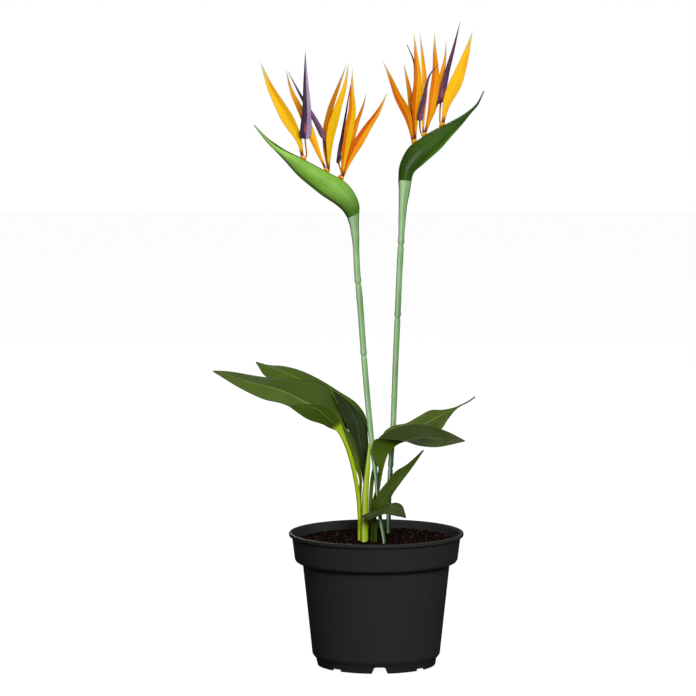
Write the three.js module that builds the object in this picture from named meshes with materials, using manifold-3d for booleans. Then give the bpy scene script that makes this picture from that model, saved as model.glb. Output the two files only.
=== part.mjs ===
// A potted bird of paradise: nursery pot, soil, leaves and two flowers on tall stems.
// Millimetres, +Z up, +X to the right as seen from the front, +Y to the back.
// The origin is on the ground, on the pot's axis.
import * as THREE from 'three';
import { mergeVertices } from 'three/addons/utils/BufferGeometryUtils.js';
import Module from 'manifold-3d';

const wasm = await Module();
wasm.setup();

// Clearance between pieces that touch, and the thinnest edge of a blade.
const GAP = 0.3;
const BLADE_EDGE = 0.7;
const MERGE_WITHIN = 1e-4;

// Pot: a 19 cm nursery pot.
const POT_HEIGHT = 145;
const RIM_RADIUS = 95;
const RIM_DEPTH = 4;
const RIM_EDGE = 1;
const RIM_UNDERCUT = 1.2;
const RIM_INSET = 2.8;
const BAND_TOP_RADIUS = 91.5;
const BAND_FOOT_RADIUS = 88.7;
const BAND_FOOT_HEIGHT = 117;
const BODY_TOP_RADIUS = 80;
const BODY_TOP_HEIGHT = 111;
const BAND_TUCK = 2.5;
const BODY_FOOT_RADIUS = 69.6;
const BODY_FOOT_HEIGHT = 12.5;
const FOOT_TOP_RADIUS = 65.8;
const FOOT_TOP_HEIGHT = 7.6;
const FOOT_RADIUS = 64.6;
const FOOT_WALL = 2.4;
const WALL = 1.8;
const HOLLOW_HEIGHT = 11;
const FLOOR_THICKNESS = 2.4;
const FLOOR_TOP = HOLLOW_HEIGHT + FLOOR_THICKNESS;
const INSIDE_FOOT_HEIGHT = 16;
const POT_SIDES = 48;
const CENTRE_FOOT_RADIUS = 18;
const PADS = 4;
const PAD_TURN = 3;
const PAD_GAP_ANGLE = 10.8;
const PAD_GAP_HEIGHT = 2.3;
const NOTCH_WIDTH = 13;
const NOTCH_FLARE = 18;
const NOTCH_HEIGHT = 7;
const NOTCH_CROWN = 2;
const CUT_DEPTH = 14;
const DRAIN_HOLES = 8;
const DRAIN_HOLE_RADIUS = 5;
const DRAIN_SIDES = 16;
const DRAIN_CIRCLE_RADIUS = 44;

// Soil, filled a little below the rim and heaped a little at the back right.
const SOIL_LEVEL = 135;
const SOIL_HEAP = 5;
const SOIL_HEAP_AT = [24, 42];
const SOIL_HEAP_SPREAD = 30;
const SOIL_SIDES = 36;
const SOIL_RINGS = [74, 56, 38, 20, 0];
const SOIL_SLACK = 0.4;
const SOIL_PLAY = WALL + GAP + SOIL_SLACK;
const SOIL_WAVES = 0.5;
const SOIL_WAVE_ACROSS = 7;
const SOIL_WAVE_DEEP = 6;
const STEM_FOOT = 105;
const STEM_BEND = 121;
const HOLE_PLAY = 0.7;
const HOLE_HEADROOM = 30;
const HOLE_SIDES = 12;

// Cross sections: points round a stem, columns across a leaf and across a petal.
const STEM_SIDES = 8;
const CURVE_SAMPLES = 400;
const LEAF_COLUMNS = 6;
const PETAL_COLUMNS = 2;

// Flower stems: centre line, radius at heights, pinched nodes and sleeve rings at heights.
const FLOWER_STEMS = {
  left: {
    path: [
      [8.5, -18, STEM_FOOT], [8.5, -18, STEM_BEND], [8.5, -18, 137], [4, -11.5, 163], [1.5, -7.5, 186],
      [0, -6, 203], [-2, -2.5, 218], [-4, 3, 234], [-5.5, 8, 247], [-9.5, 11, 288],
      [-13.5, 10, 335], [-18, 6, 397], [-21, 4, 430], [-22.5, 2, 463], [-24, 1, 479],
    ],
    radius: [[STEM_FOOT, 2.1], [163, 2.1], [218, 2.6], [260, 3.1], [455, 3.4], [479, 5]],
    pinches: [415, 336],
    rings: [399],
  },
  right: {
    path: [
      [13.5, 32, STEM_FOOT], [13.5, 32, STEM_BEND], [13.5, 32, 137], [14, 30, 176], [16, 27, 218],
      [18.5, 25, 259], [21, 19, 331], [23, 14, 379], [24.5, 11, 419], [26.5, 9, 459],
      [28.5, 9, 500], [30, 9.5, 515],
    ],
    radius: [[STEM_FOOT, 2.5], [176, 2.6], [264, 3.1], [470, 3.3], [500, 4.6], [514, 5.9]],
    pinches: [457, 377, 211],
    rings: [439, 291],
  },
};

// Spathes: rows from the stem to the beak, as top lip, keel and half width across.
const SPATHE_ROWS = {
  left: [
    [[-18.5, 0, 494.5], [-32, 0, 488], 6.9],
    [[-18.5, -1, 501.5], [-36.5, -1, 495], 7.8],
    [[-23.5, -1, 514], [-44.5, -1, 502], 8.6],
    [[-34, -2, 526.5], [-58, -2, 511], 9],
    [[-46, -3, 533.5], [-70, -3, 520.5], 8.6],
    [[-63, -5, 542.5], [-85, -5, 533.5], 7.6],
    [[-82.5, -8, 553], [-99.5, -8, 550], 6.2],
    [[-99.5, -11, 561.5], [-112.5, -11, 564], 4.6],
    [[-114.5, -15, 572], [-121.5, -15, 574.5], 2.8],
    [[-131, -19, 589], [-132, -19, 588.4], 0.7],
  ],
  right: [
    [[23.5, 10, 527], [38, 10, 526.5], 7.1],
    [[24.5, 12, 540.5], [40.5, 12, 535], 8],
    [[28, 15, 551], [49.5, 15, 543], 8.6],
    [[34.5, 19, 561.5], [59, 19, 551], 8.8],
    [[46, 25, 570], [70, 25, 560.5], 8.2],
    [[61.5, 33, 579], [82, 33, 573.5], 7],
    [[80.5, 42, 588], [93, 42, 585], 5],
    [[98, 50, 598], [103, 50, 597], 3],
    [[109, 55, 607.5], [111, 55, 606], 1.6],
    [[116.8, 60, 621], [117.8, 60, 620.6], 0.7],
  ],
};
const SLOT_HALF_WIDTH = 1.8;
const SLOT_DEPTH = 7;
const SLOT_END_SHARE = 0.15;
const SLOT_MOST = 0.55;
const SLOT_WIDTH_SHARE = 0.3;
const LIP_FLARE = 1.15;
const CHEEK = [[0.62, -0.12], [0.9, -0.3], [1, -0.52], [0.72, -0.82]];
const SPATHE_STEPS_PER_ROW = 2;

// Florets: station on the spathe in rows from the stem. Each petal's root is its place on the
// claw, towards the beak and towards the front, and then come the points above it. A turn is
// how far a face is turned from the front, and a barb is the arrow's widest place, as a share
// of its length. A knob is the middle of the round swelling beside an arrow's stalk.
const CLAW_LENGTH = 6;
const CLAW_PLAY = 0.2;
const COLLAR_HALF_LENGTH = 3.7;
const COLLAR_HALF_WIDTH = 3.2;
const COLLAR_FOOT = 0.6;
const COLLAR_TOP = 3.4;
const SOCKET_RADIUS = 1.75;
const SOCKET_FOOT = 1.2;
const SOCKET_HEIGHT = 6;
const COLLAR_SIDES = 12;
const FLORETS = {
  left_outer: {
    spathe: 'left',
    row: 5.84,
    sepals: [
      {
        root: [1.6, 0],
        path: [[-83.5, -9, 572], [-99.5, -13, 602], [-114, -15, 629], [-124.5, -14, 656]],
        width: 6.6,
      },
    ],
    arrow: {
      root: [-1.8, 0.4],
      path: [[-76.5, -13, 572], [-75, -19, 604], [-76, -19, 637], [-76.5, -15, 667]],
      width: 6.4,
      barb: 0.25,
    },
  },
  left_middle: {
    spathe: 'left',
    row: 4.5,
    sepals: [
      {
        root: [2.2, -0.4],
        path: [[-68.5, 4, 571], [-81, 9, 600], [-92, 11, 624], [-97.5, 9, 647]],
        width: 4.8,
        turn: 25,
      },
      {
        root: [-1.2, -1.8],
        path: [[-56, 12, 572], [-51, 20, 602], [-41.5, 22, 628], [-32, 18, 652]],
        width: 4.6,
        turn: 35,
      },
      {
        root: [-1.6, 1.6],
        path: [[-49.5, -10, 577], [-42.5, -15, 604], [-34, -16, 631], [-30, -12, 655]],
        width: 5,
      },
    ],
    arrow: {
      root: [0.2, 0.6],
      path: [[-56, -1, 569], [-64, -1, 588], [-79, 0, 614], [-95, 0, 645]],
      width: 3.4,
      turn: 20,
      barb: 0.36,
    },
  },
  left_inner: {
    spathe: 'left',
    row: 3.44,
    sepals: [
      {
        root: [-0.4, -0.4],
        path: [[-32, -7, 572], [-26.5, -11, 602], [-26.5, -13, 626], [-26, -11, 648]],
        width: 5.6,
      },
      {
        root: [-0.8, -1.8],
        path: [[-31, 8, 560], [-21.5, 15, 590], [-14.5, 15, 608], [-11, 11, 621]],
        width: 4.2,
        turn: 35,
      },
      {
        root: [-1.4, 0.4],
        path: [[-26, -1, 557], [-11.5, 2, 582], [2.5, 3, 603], [12, 5, 623]],
        width: 5.2,
      },
    ],
    arrow: {
      root: [1.4, 2],
      path: [[-42, -11, 554], [-38, -19, 578], [-32.5, -24, 607], [-28, -22, 631]],
      width: 4.4,
      turn: 62,
      barb: 0.22,
    },
  },
  right_inner: {
    spathe: 'right',
    row: 3.67,
    sepals: [
      {
        root: [-1.6, 0.4],
        path: [[33.5, 16, 597], [22.5, 10, 619], [14, 6, 640], [7, 4, 656]],
        width: 4.8,
      },
      {
        root: [-0.4, -1.8],
        path: [[37.5, 28, 602], [34.5, 31, 625], [31.5, 30, 642], [29.5, 28, 653]],
        width: 4.4,
        turn: 35,
      },
      {
        root: [1.6, 1.4],
        path: [[42.5, 15, 608], [44.5, 12, 640], [42, 12, 667], [40.5, 14, 686]],
        width: 5,
      },
    ],
    arrow: {
      root: [-0.2, 0.3],
      path: [[38, 21, 591], [40.5, 23, 629], [40, 22, 654], [33, 19, 673]],
      width: 3,
      turn: 60,
      barb: 0.6,
    },
  },
  right_middle: {
    spathe: 'right',
    row: 4.46,
    sepals: [
      {
        root: [-0.6, -1.8],
        path: [[50.5, 35, 603], [51.5, 39, 634], [49.5, 39, 661], [47, 37, 685]],
        width: 3.8,
        turn: 30,
      },
      {
        root: [1.2, 1.2],
        path: [[60, 26, 607], [64, 28, 640], [63, 29, 667], [63, 31, 685]],
        width: 5,
      },
      {
        root: [2, -1.2],
        path: [[61.5, 46, 602.5], [69, 51, 632.5], [74.5, 54, 656.5], [76, 54, 675.5]],
        width: 4.2,
        turn: 25,
      },
    ],
    arrow: {
      root: [-2.2, 0.8],
      path: [[47, 16, 593], [51, 7, 616], [57.5, 8, 641], [66.5, 12, 652]],
      width: 3.4,
      barb: 0.3,
    },
  },
  right_outer: {
    spathe: 'right',
    row: 5.56,
    sepals: [
      {
        root: [1.4, 0.6],
        path: [[76.5, 40, 609], [88, 46, 635], [97, 51, 660], [104.5, 55, 686]],
        width: 7,
      },
    ],
    arrow: {
      root: [0.2, -1.4],
      path: [[70, 41.5, 610], [75.5, 44, 638.5], [83, 46, 665.5], [91, 48, 696.5]],
      width: 4,
      turn: 10,
      barb: 0.28,
      knob: [67, 40, 612],
    },
  },
};

// Leaves: stalk from the soil up, then rows as far edge, midrib and near edge.
const LEAVES = {
  leaf_front_left: {
    stalk: [[-17, 10, 137], [-17.5, 9, 186], [-17, 8, 201]],
    radius: 1.7,
    rows: [
      [[-17.5, 8.5, 214], [-19.5, 6.5, 213], [-22.5, 5.5, 213.5]],
      [[-19.5, 9, 228], [-23, 6, 226], [-28, 3.5, 226.5]],
      [[-24, 9, 245], [-28.5, 5, 241], [-33.5, 1, 242]],
      [[-35.5, 8, 262], [-38, 4, 257], [-40.5, 0, 254]],
      [[-41.5, 19, 280], [-48, 5, 265], [-52.5, -4, 260]],
      [[-54.5, 22, 302], [-63, 4, 279], [-68.5, -10, 270]],
      [[-72, 22, 308], [-79.5, 2, 287], [-83.5, -14, 278]],
      [[-92.5, 18, 310], [-97, -2, 297], [-101, -16, 287]],
      [[-113, 12, 312], [-116, -7, 304], [-120.5, -20, 292]],
      [[-134.5, 4, 316], [-136.5, -13, 310], [-139.5, -24, 301]],
      [[-153, -6, 320.5], [-155, -18, 317], [-157, -26, 311]],
      [[-166.5, -15, 323], [-167.5, -21, 322], [-168, -26, 318]],
      [[-176, -24, 324], [-176.2, -25, 323.6], [-176, -26, 323]],
    ],
  },
  leaf_back_left: {
    stalk: [[-11, 18, 137], [-11, 20, 177], [-10.5, 24, 209], [-10.5, 27, 231]],
    radius: 2.4,
    rows: [
      [[-9, 33, 245], [-13, 29, 246], [-18.5, 26, 242]],
      [[-11, 38, 266], [-20, 32, 259], [-28.5, 26, 251]],
      [[-21, 44, 280], [-33, 35, 273], [-41.5, 26, 264]],
      [[-39.5, 50, 292], [-50.5, 38, 287], [-59, 25, 277]],
      [[-59, 55, 304], [-70, 40, 300], [-79.5, 25, 290]],
      [[-80, 57, 314], [-88.5, 42, 309], [-96, 26, 300]],
      [[-100.5, 55, 320], [-105, 43, 316], [-111.5, 30, 306]],
      [[-118, 49, 322], [-120.5, 44, 321], [-122.5, 38, 312]],
      [[-131, 44, 326], [-131.4, 43, 325.6], [-131, 42, 325]],
    ],
  },
  leaf_left_upright: {
    stalk: [[-10, 10, 137], [-11, 10, 178], [-12.5, 12, 197]],
    radius: 1.9,
    rows: [
      [[-16.5, 12.5, 210], [-14.5, 14.5, 209], [-12, 15.5, 210]],
      [[-21, 12.5, 223], [-16, 15.5, 224], [-10, 17, 224]],
      [[-25, 12, 241], [-18, 16, 243], [-9.5, 18.5, 242]],
      [[-32, 10, 260], [-22, 15, 263], [-10, 20, 257]],
      [[-38, 9, 274], [-28.5, 15, 277], [-15.5, 21, 269]],
      [[-42.5, 8, 286], [-36, 12, 288], [-25.5, 18, 281]],
      [[-45.5, 8, 294], [-42, 9.5, 294.5], [-36.5, 13, 291]],
      [[-47.4, 7.6, 298.4], [-47, 8, 298.4], [-46.4, 8.4, 298]],
    ],
  },
  leaf_bright_front: {
    stalk: [[-18, 3, 137], [-18, 2, 163], [-20.5, 0, 191], [-27, -5, 224], [-33.5, -9, 244]],
    radius: 2.6,
    rows: [
      [[-36, -6, 257], [-39.5, -12, 256], [-42.5, -15, 257]],
      [[-39, -9, 267], [-46, -17, 264], [-48.5, -22, 262]],
      [[-46, -15, 278], [-55.5, -25, 275], [-61, -36, 268]],
      [[-55.5, -22, 286], [-64, -33, 283], [-72.5, -45, 273]],
      [[-68.5, -33, 289], [-75, -41, 287], [-81, -51, 279]],
      [[-83.5, -44, 290], [-86.5, -48, 289], [-89, -53, 285]],
      [[-94, -53.4, 290.2], [-94.4, -54, 289.8], [-94, -54.6, 289.2]],
    ],
  },
  leaf_front_right: {
    stalk: [[-5, 3, 137], [-4, 2, 157], [-2.5, 2, 177], [2, 1.5, 193]],
    radius: 2.5,
    rows: [
      [[2, 2.5, 206], [4, 0.3, 204], [3.4, -2, 206]],
      [[2.4, 1, 216], [5.8, -3, 213.5], [2.2, -8.4, 216]],
      [[2, 0.5, 228], [8.8, -4.5, 224], [-2.6, -9, 228]],
      [[-1.5, 0.5, 241], [12.5, -5, 233], [-5, -11, 238]],
      [[5, 4, 250], [18, -7, 239], [-1.5, -15, 248]],
      [[16, 7, 256], [25.5, -9, 244], [13.5, -19, 249]],
      [[28, 8, 260], [35.5, -12, 247], [28.5, -23, 248]],
      [[45.5, 6, 263], [49.5, -16, 250], [45, -29, 243]],
      [[62.5, 0, 260], [65.5, -21, 250], [64, -34, 242]],
      [[77.5, -10, 256], [80.5, -26, 249], [80, -35, 245]],
      [[95, -31, 249.4], [95.6, -32, 248.9], [95, -33, 248.4]],
    ],
  },
  leaf_back_right: {
    stalk: [[-5, 12, 137], [-6, 12, 168], [-5.5, 12, 188], [-3.5, 12.5, 206], [0.5, 13, 220]],
    radius: 2.4,
    rows: [
      [[5, 16, 240], [10.5, 14, 236], [6.5, 11, 237]],
      [[8.5, 18, 252], [16, 14, 245], [13, 11, 244]],
      [[19.5, 18, 259], [27, 14, 251], [26, 11, 249]],
      [[32.5, 18, 262], [39, 13, 255], [39, 9.5, 253]],
      [[47.5, 20, 270], [52, 12, 261], [53, 6, 254]],
      [[59.5, 19, 276], [66, 10, 269], [68, 3, 255]],
      [[72.5, 14, 277], [77, 8, 275], [78, 4, 268]],
      [[83.5, 9, 280], [84.5, 7, 278.5], [85, 5, 276.5]],
      [[90.7, 7, 283], [91, 6, 282.4], [91.3, 5, 281.8]],
      [[99.2, 3.8, 287.6], [99.5, 3, 287], [99.8, 2.2, 286.4]],
      [[106.6, 0.6, 293.3], [107, 0, 292.8], [107.4, -0.6, 292.3]],
    ],
  },
  leaf_lance: {
    stalk: [[-1, -9, 137], [-1, -10.5, 155], [-1, -14, 165]],
    radius: 1.9,
    rows: [
      [[-4, -14.5, 173], [1.5, -16, 172], [9.5, -17, 174]],
      [[2, -14.5, 189], [7.5, -17, 182], [14, -18.5, 182]],
      [[11.5, -15, 202], [16, -18, 194], [18.5, -20, 190]],
      [[21, -18, 214], [25.5, -20, 208], [28, -22, 204]],
      [[33, -21, 222], [36.5, -22.5, 220], [39, -24, 219]],
      [[50.2, -26.6, 238.5], [50.8, -27, 238.2], [51.4, -27.4, 237.9]],
    ],
  },
};

// The small bent leaf: pointed at both ends, with its stalk under its near end.
const BENT_LEAF = {
  name: 'leaf_small_bent',
  rows: [
    [[-16.4, -16.5, 164.6], [-16.8, -17, 164.2], [-16.4, -17.5, 163.8]],
    [[-6.5, -20, 170], [-6, -24, 167], [-7, -28, 162]],
    [[4, -21, 174], [5, -26, 172], [4, -32, 168]],
    [[14.5, -22, 179], [14, -28, 176], [12, -34.5, 169.4]],
    [[22.5, -22.5, 180.2], [20.5, -29, 176], [17.5, -35.5, 168.2]],
    [[28, -26, 177.6], [25.5, -31, 173.2], [22.5, -36, 167.2]],
    [[30.4, -30, 172], [28.8, -32.6, 169.6], [26.8, -35.6, 166.4]],
    [[32, -33.6, 165.9], [31.8, -34, 165.4], [31.2, -34.4, 165.1]],
  ],
  stalk: [[-5, -11, STEM_FOOT], [-5, -11, STEM_BEND], [-5, -11, 138], [-4.5, -15, 150], [-3.5, -24, 167.5]],
  radius: [[STEM_FOOT, 1.9], [150, 1.9], [167.5, 0.9]],
  heights: [STEM_FOOT, STEM_BEND, 138, 144, 150, 158, 167.5],
};

// The spear: a rolled young leaf, as its centre line and its radius at each point.
const SPEAR = {
  path: [
    [-12.5, -3, STEM_FOOT], [-12.5, -3, STEM_BEND], [-12.5, -3, 137], [-12, -3.5, 164],
    [-11.5, -5, 191], [-9, -6, 219], [-7, -6, 246],
  ],
  radius: [[STEM_FOOT, 4], [164, 4], [191, 3.5], [219, 2.6], [238, 1.5], [246, 0.5]],
  heights: [STEM_FOOT, 137, 164, 178, 191, 205, 219, 229, 238, 246],
};

// Colours, and how rough a surface is.
const SATIN = 0.45;
const SOFT = 0.5;
const CRUMBLY = 1;
const DARK_LEAF = 0x3c5220;
const COLOURS = {
  pot: 0x26272a,
  soil: 0x2c1f18,
  stem: 0x6f9c72,
  spathe_left: 0x5f9a35,
  spathe_right: 0x3f6f2b,
  sepals: 0xf2a41d,
  arrow: 0x4d2f63,
  leaf_back_left: 0x587a25,
  leaf_bright_front: 0x7c9a24,
  spear: 0x9fc02f,
};

function vec([x, y, z]) {
  return new THREE.Vector3(x, y, z);
}

function geometryOf(points, faces) {
  const geometry = new THREE.BufferGeometry();
  geometry.setAttribute(
    'position',
    new THREE.Float32BufferAttribute(points.flatMap((p) => [p.x, p.y, p.z]), 3),
  );
  geometry.setIndex(faces.flat());
  return geometry;
}

// Turns a closed geometry into a manifold solid, and back.
function solidOf(geometry) {
  const bare = geometry.clone();
  bare.deleteAttribute('normal');
  bare.deleteAttribute('uv');
  const merged = mergeVertices(bare, MERGE_WITHIN);
  return new wasm.Manifold(new wasm.Mesh({
    numProp: 3,
    vertProperties: new Float32Array(merged.attributes.position.array),
    triVerts: new Uint32Array(merged.index.array),
  }));
}

function geometryFrom(solid) {
  const mesh = solid.getMesh();
  const geometry = new THREE.BufferGeometry();
  geometry.setAttribute('position', new THREE.Float32BufferAttribute(mesh.vertProperties, 3));
  geometry.setIndex(new THREE.Uint32BufferAttribute(mesh.triVerts, 1));
  return geometry;
}

// Value at a height from a list of [height, value] pairs.
function valueAt(pairs, height) {
  const above = pairs.findIndex(([h]) => h >= height);
  if (above <= 0) {
    return above === 0 ? pairs[0][1] : pairs[pairs.length - 1][1];
  }
  const [h0, v0] = pairs[above - 1];
  const [h1, v1] = pairs[above];
  return THREE.MathUtils.lerp(v0, v1, (height - h0) / (h1 - h0));
}

// Joins rings of equally many points into one closed solid with a flat cap at each end.
function loft(rings, outline) {
  const count = rings[0].length;
  const faces = [];
  for (let i = 0; i + 1 < rings.length; i += 1) {
    for (let j = 0; j < count; j += 1) {
      const a = i * count + j;
      const b = i * count + ((j + 1) % count);
      faces.push([a, b, b + count], [a, b + count, a + count]);
    }
  }
  const last = (rings.length - 1) * count;
  for (const [a, b, c] of THREE.ShapeUtils.triangulateShape(outline, [])) {
    faces.push([c, b, a], [last + a, last + b, last + c]);
  }
  return geometryOf(rings.flat(), faces);
}

// Directions across a nearly upright centre line: to its right and to its back.
function crossAxes(tangent) {
  const right = new THREE.Vector3().crossVectors(new THREE.Vector3(0, 1, 0), tangent).normalize();
  const back = new THREE.Vector3().crossVectors(tangent, right);
  return { right, back };
}

function roundOutline(sides) {
  return Array.from({ length: sides }, (_, k) => {
    const angle = (2 * Math.PI * k) / sides;
    return new THREE.Vector2(Math.cos(angle), Math.sin(angle));
  });
}

// Rings round a centre line, with the radius given at each of some heights.
function rodRings(path, heights, radiusAt, outline) {
  const curve = new THREE.CatmullRomCurve3(path.map(vec));
  const samples = curve.getPoints(CURVE_SAMPLES);
  return heights.map((height) => {
    const index = Math.max(1, samples.findIndex((p) => p.z >= height - 1e-6));
    const next = samples[index];
    const before = samples[index - 1];
    const t = (index - 1 + (height - before.z) / (next.z - before.z)) / CURVE_SAMPLES;
    const centre = curve.getPoint(t);
    const { right, back } = crossAxes(curve.getTangent(t));
    const radius = radiusAt(height);
    return outline.map((p) => centre.clone()
      .addScaledVector(right, p.x * radius)
      .addScaledVector(back, p.y * radius));
  });
}

function rod(path, heights, radiusAt) {
  const outline = roundOutline(STEM_SIDES);
  return loft(rodRings(path, heights, radiusAt, outline), outline);
}

const PINCH_REACH = 2.2;
const PINCH_DEPTH = 0.26;
const RING_SWELL = 0.1;
const STEM_STEP = 16;
const MARK_SPACING = 3;
const TOP_PLAY = GAP + 0.1;

// The stem's top ring, parallel to the foot of its spathe and a clearance below it.
function stemTop(side, outline) {
  const { lip, keel, up, along, depth, halfWidth } = spatheStation(side, 0);
  const right = up.clone().multiplyScalar(Math.sign(up.x));
  const back = new THREE.Vector3().crossVectors(along, right);
  const centre = lip.clone().add(keel).multiplyScalar(0.5).addScaledVector(along, -TOP_PLAY);
  return outline.map((p) => centre.clone()
    .addScaledVector(right, (p.x * depth) / 2)
    .addScaledVector(back, p.y * halfWidth));
}

function flowerStem(side) {
  const { path, radius, pinches, rings } = FLOWER_STEMS[side];
  const foot = path[0][2];
  const top = radius[radius.length - 1][0];
  const steps = Math.round((top - foot) / STEM_STEP);
  const marks = [...pinches, ...rings].flatMap((h) => [h - PINCH_REACH, h, h + PINCH_REACH]);
  const regular = Array.from({ length: steps + 1 }, (_, k) => foot + ((top - foot) * k) / steps)
    .filter((h) => marks.every((m) => Math.abs(m - h) > MARK_SPACING));
  const heights = [...marks, ...regular].sort((a, b) => a - b);
  const radiusAt = (height) => {
    const isAt = (mark) => Math.abs(mark - height) < 0.01;
    const plain = valueAt(radius, height);
    if (pinches.some(isAt)) {
      return plain * (1 - PINCH_DEPTH);
    }
    return rings.some(isAt) ? plain * (1 + RING_SWELL) : plain;
  };
  const outline = roundOutline(STEM_SIDES);
  return loft([...rodRings(path, heights, radiusAt, outline), stemTop(side, outline)], outline);
}

// A thin blade over a grid of middle points, split alike on both faces.
function blade(grid, halfThickness) {
  const rows = grid.length;
  const columns = grid[0].length;
  const at = (i, j) => grid[THREE.MathUtils.clamp(i, 0, rows - 1)][THREE.MathUtils.clamp(j, 0, columns - 1)];
  const upper = [];
  const lower = [];
  for (let i = 0; i < rows; i += 1) {
    for (let j = 0; j < columns; j += 1) {
      const along = at(i + 1, j).clone().sub(at(i - 1, j));
      const across = at(i, j + 1).clone().sub(at(i, j - 1));
      const normal = across.cross(along).normalize();
      const half = halfThickness(i / (rows - 1), (2 * j) / (columns - 1) - 1);
      upper.push(grid[i][j].clone().addScaledVector(normal, half));
      lower.push(grid[i][j].clone().addScaledVector(normal, -half));
    }
  }
  const shift = rows * columns;
  const faces = [];
  const quad = (a, b, c, d) => faces.push([a, b, c], [a, c, d]);
  for (let i = 0; i + 1 < rows; i += 1) {
    for (let j = 0; j + 1 < columns; j += 1) {
      const a = i * columns + j;
      faces.push([a, a + 1, a + columns + 1], [a, a + columns + 1, a + columns]);
      faces.push(
        [a + shift, a + columns + 1 + shift, a + 1 + shift],
        [a + shift, a + columns + shift, a + columns + 1 + shift],
      );
    }
    const left = i * columns;
    const right = left + columns - 1;
    quad(left, left + columns, left + columns + shift, left + shift);
    quad(right + columns, right, right + shift, right + columns + shift);
  }
  for (let j = 0; j + 1 < columns; j += 1) {
    const end = (rows - 1) * columns + j;
    quad(j + 1, j, j + shift, j + 1 + shift);
    quad(end, end + 1, end + 1 + shift, end + shift);
  }
  return geometryOf([...upper, ...lower], faces);
}

// Middle points of a blade between three curves: far edge, midrib and near edge.
// The first rows, of a stalk, take one step each and the others two.
function gridBetween(rows, columns, stalkRows = 0) {
  const curves = [0, 1, 2].map((k) => new THREE.CatmullRomCurve3(rows.map((row) => vec(row[k]))));
  const stops = rows.flatMap((_, i) => (i < stalkRows || i === rows.length - 1 ? [i] : [i, i + 0.5]));
  return stops.map((stop) => {
    const [far, rib, near] = curves.map((curve) => curve.getPoint(stop / (rows.length - 1)));
    return Array.from({ length: columns + 1 }, (_, j) => {
      const s = (2 * j) / columns - 1;
      return rib.clone().lerp(s < 0 ? far : near, Math.abs(s));
    });
  });
}

const RIB_HALF_THICKNESS = 1;
const STALK_FLATTENING = 0.85;
const BLADE_BEGINS = 0.75;
const BLADE_FULL = 1.3;
const BENT_HALF_THICKNESS = [0.4, 0.9];

// Half the thickness across a leaf: round where it is a stalk, thin edges on the blade.
function leafThickness(radius, stalkShare) {
  return (along, s) => {
    const edge = BLADE_EDGE / 2;
    const round = edge + (radius * STALK_FLATTENING - edge) * Math.sqrt(1 - s * s);
    const flat = edge + (RIB_HALF_THICKNESS - edge) * (1 - Math.abs(s)) ** 2 * (1 - along);
    const onBlade = THREE.MathUtils.smoothstep(along, stalkShare * BLADE_BEGINS, stalkShare * BLADE_FULL);
    return THREE.MathUtils.lerp(round, flat, onBlade);
  };
}

function leaf({ stalk, radius, rows }) {
  const [x, y] = stalk[0];
  const centres = [[x, y, STEM_FOOT], [x, y, STEM_BEND], ...stalk].map(vec);
  const first = rows[0].map(vec);
  const spread = first[0].clone().sub(first[2]);
  const stalkRows = centres.map((centre, i) => {
    const next = centres[i + 1] ?? first[1];
    const tangent = next.clone().sub(centre).normalize();
    const side = spread.clone().addScaledVector(tangent, -spread.dot(tangent)).setLength(radius);
    return [centre.clone().add(side), centre, centre.clone().sub(side)].map((p) => p.toArray());
  });
  const grid = gridBetween([...stalkRows, ...rows], LEAF_COLUMNS, centres.length);
  return blade(grid, leafThickness(radius, centres.length / (grid.length - 1)));
}

function bentLeaf({ rows, stalk, radius, heights }) {
  const [edge, rib] = BENT_HALF_THICKNESS;
  const thickness = (along, s) => {
    const share = Math.sin(Math.PI * along) * (1 - Math.abs(s)) ** 2;
    return THREE.MathUtils.lerp(edge, rib, share);
  };
  const body = blade(gridBetween(rows, LEAF_COLUMNS), thickness);
  const foot = rod(stalk, heights, (height) => valueAt(radius, height));
  return geometryFrom(solidOf(body).add(solidOf(foot)));
}

// Axes and sizes of a spathe at a station counted in rows from its stem.
function spatheStation(side, row) {
  const rows = SPATHE_ROWS[side];
  const t = row / (rows.length - 1);
  const [lips, keels] = [0, 1].map((k) => new THREE.CatmullRomCurve3(rows.map((r) => vec(r[k]))));
  const lip = lips.getPoint(t);
  const keel = keels.getPoint(t);
  const up = lip.clone().sub(keel);
  const depth = up.length();
  up.normalize();
  const along = lips.getTangent(t).lerp(keels.getTangent(t), 0.5);
  along.addScaledVector(up, -along.dot(up)).normalize();
  const across = new THREE.Vector3().crossVectors(up, along);
  const index = Math.min(Math.floor(row), rows.length - 2);
  const halfWidth = THREE.MathUtils.lerp(rows[index][2], rows[index + 1][2], row - index);
  const open = Math.sqrt(Math.sin(Math.PI * t));
  const openDepth = THREE.MathUtils.lerp(SLOT_END_SHARE * depth, SLOT_DEPTH, open);
  const slotDepth = Math.min(openDepth, SLOT_MOST * depth);
  return { lip, keel, up, along, across, depth, halfWidth, slotDepth };
}

// Outline of a spathe's section: two cheeks that meet in a keel, with a slot between the lips.
function spatheOutline({ depth, halfWidth, slotDepth }) {
  const slot = Math.min(SLOT_HALF_WIDTH, halfWidth * SLOT_WIDTH_SHARE);
  const left = CHEEK.map(([w, d]) => [-w * halfWidth, d * depth]);
  const right = left.map(([w, d]) => [-w, d]).reverse();
  return [
    [slot, -slotDepth], [-slot, -slotDepth], [-slot * LIP_FLARE, 0],
    ...left, [0, -depth], ...right, [slot * LIP_FLARE, 0],
  ];
}

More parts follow.
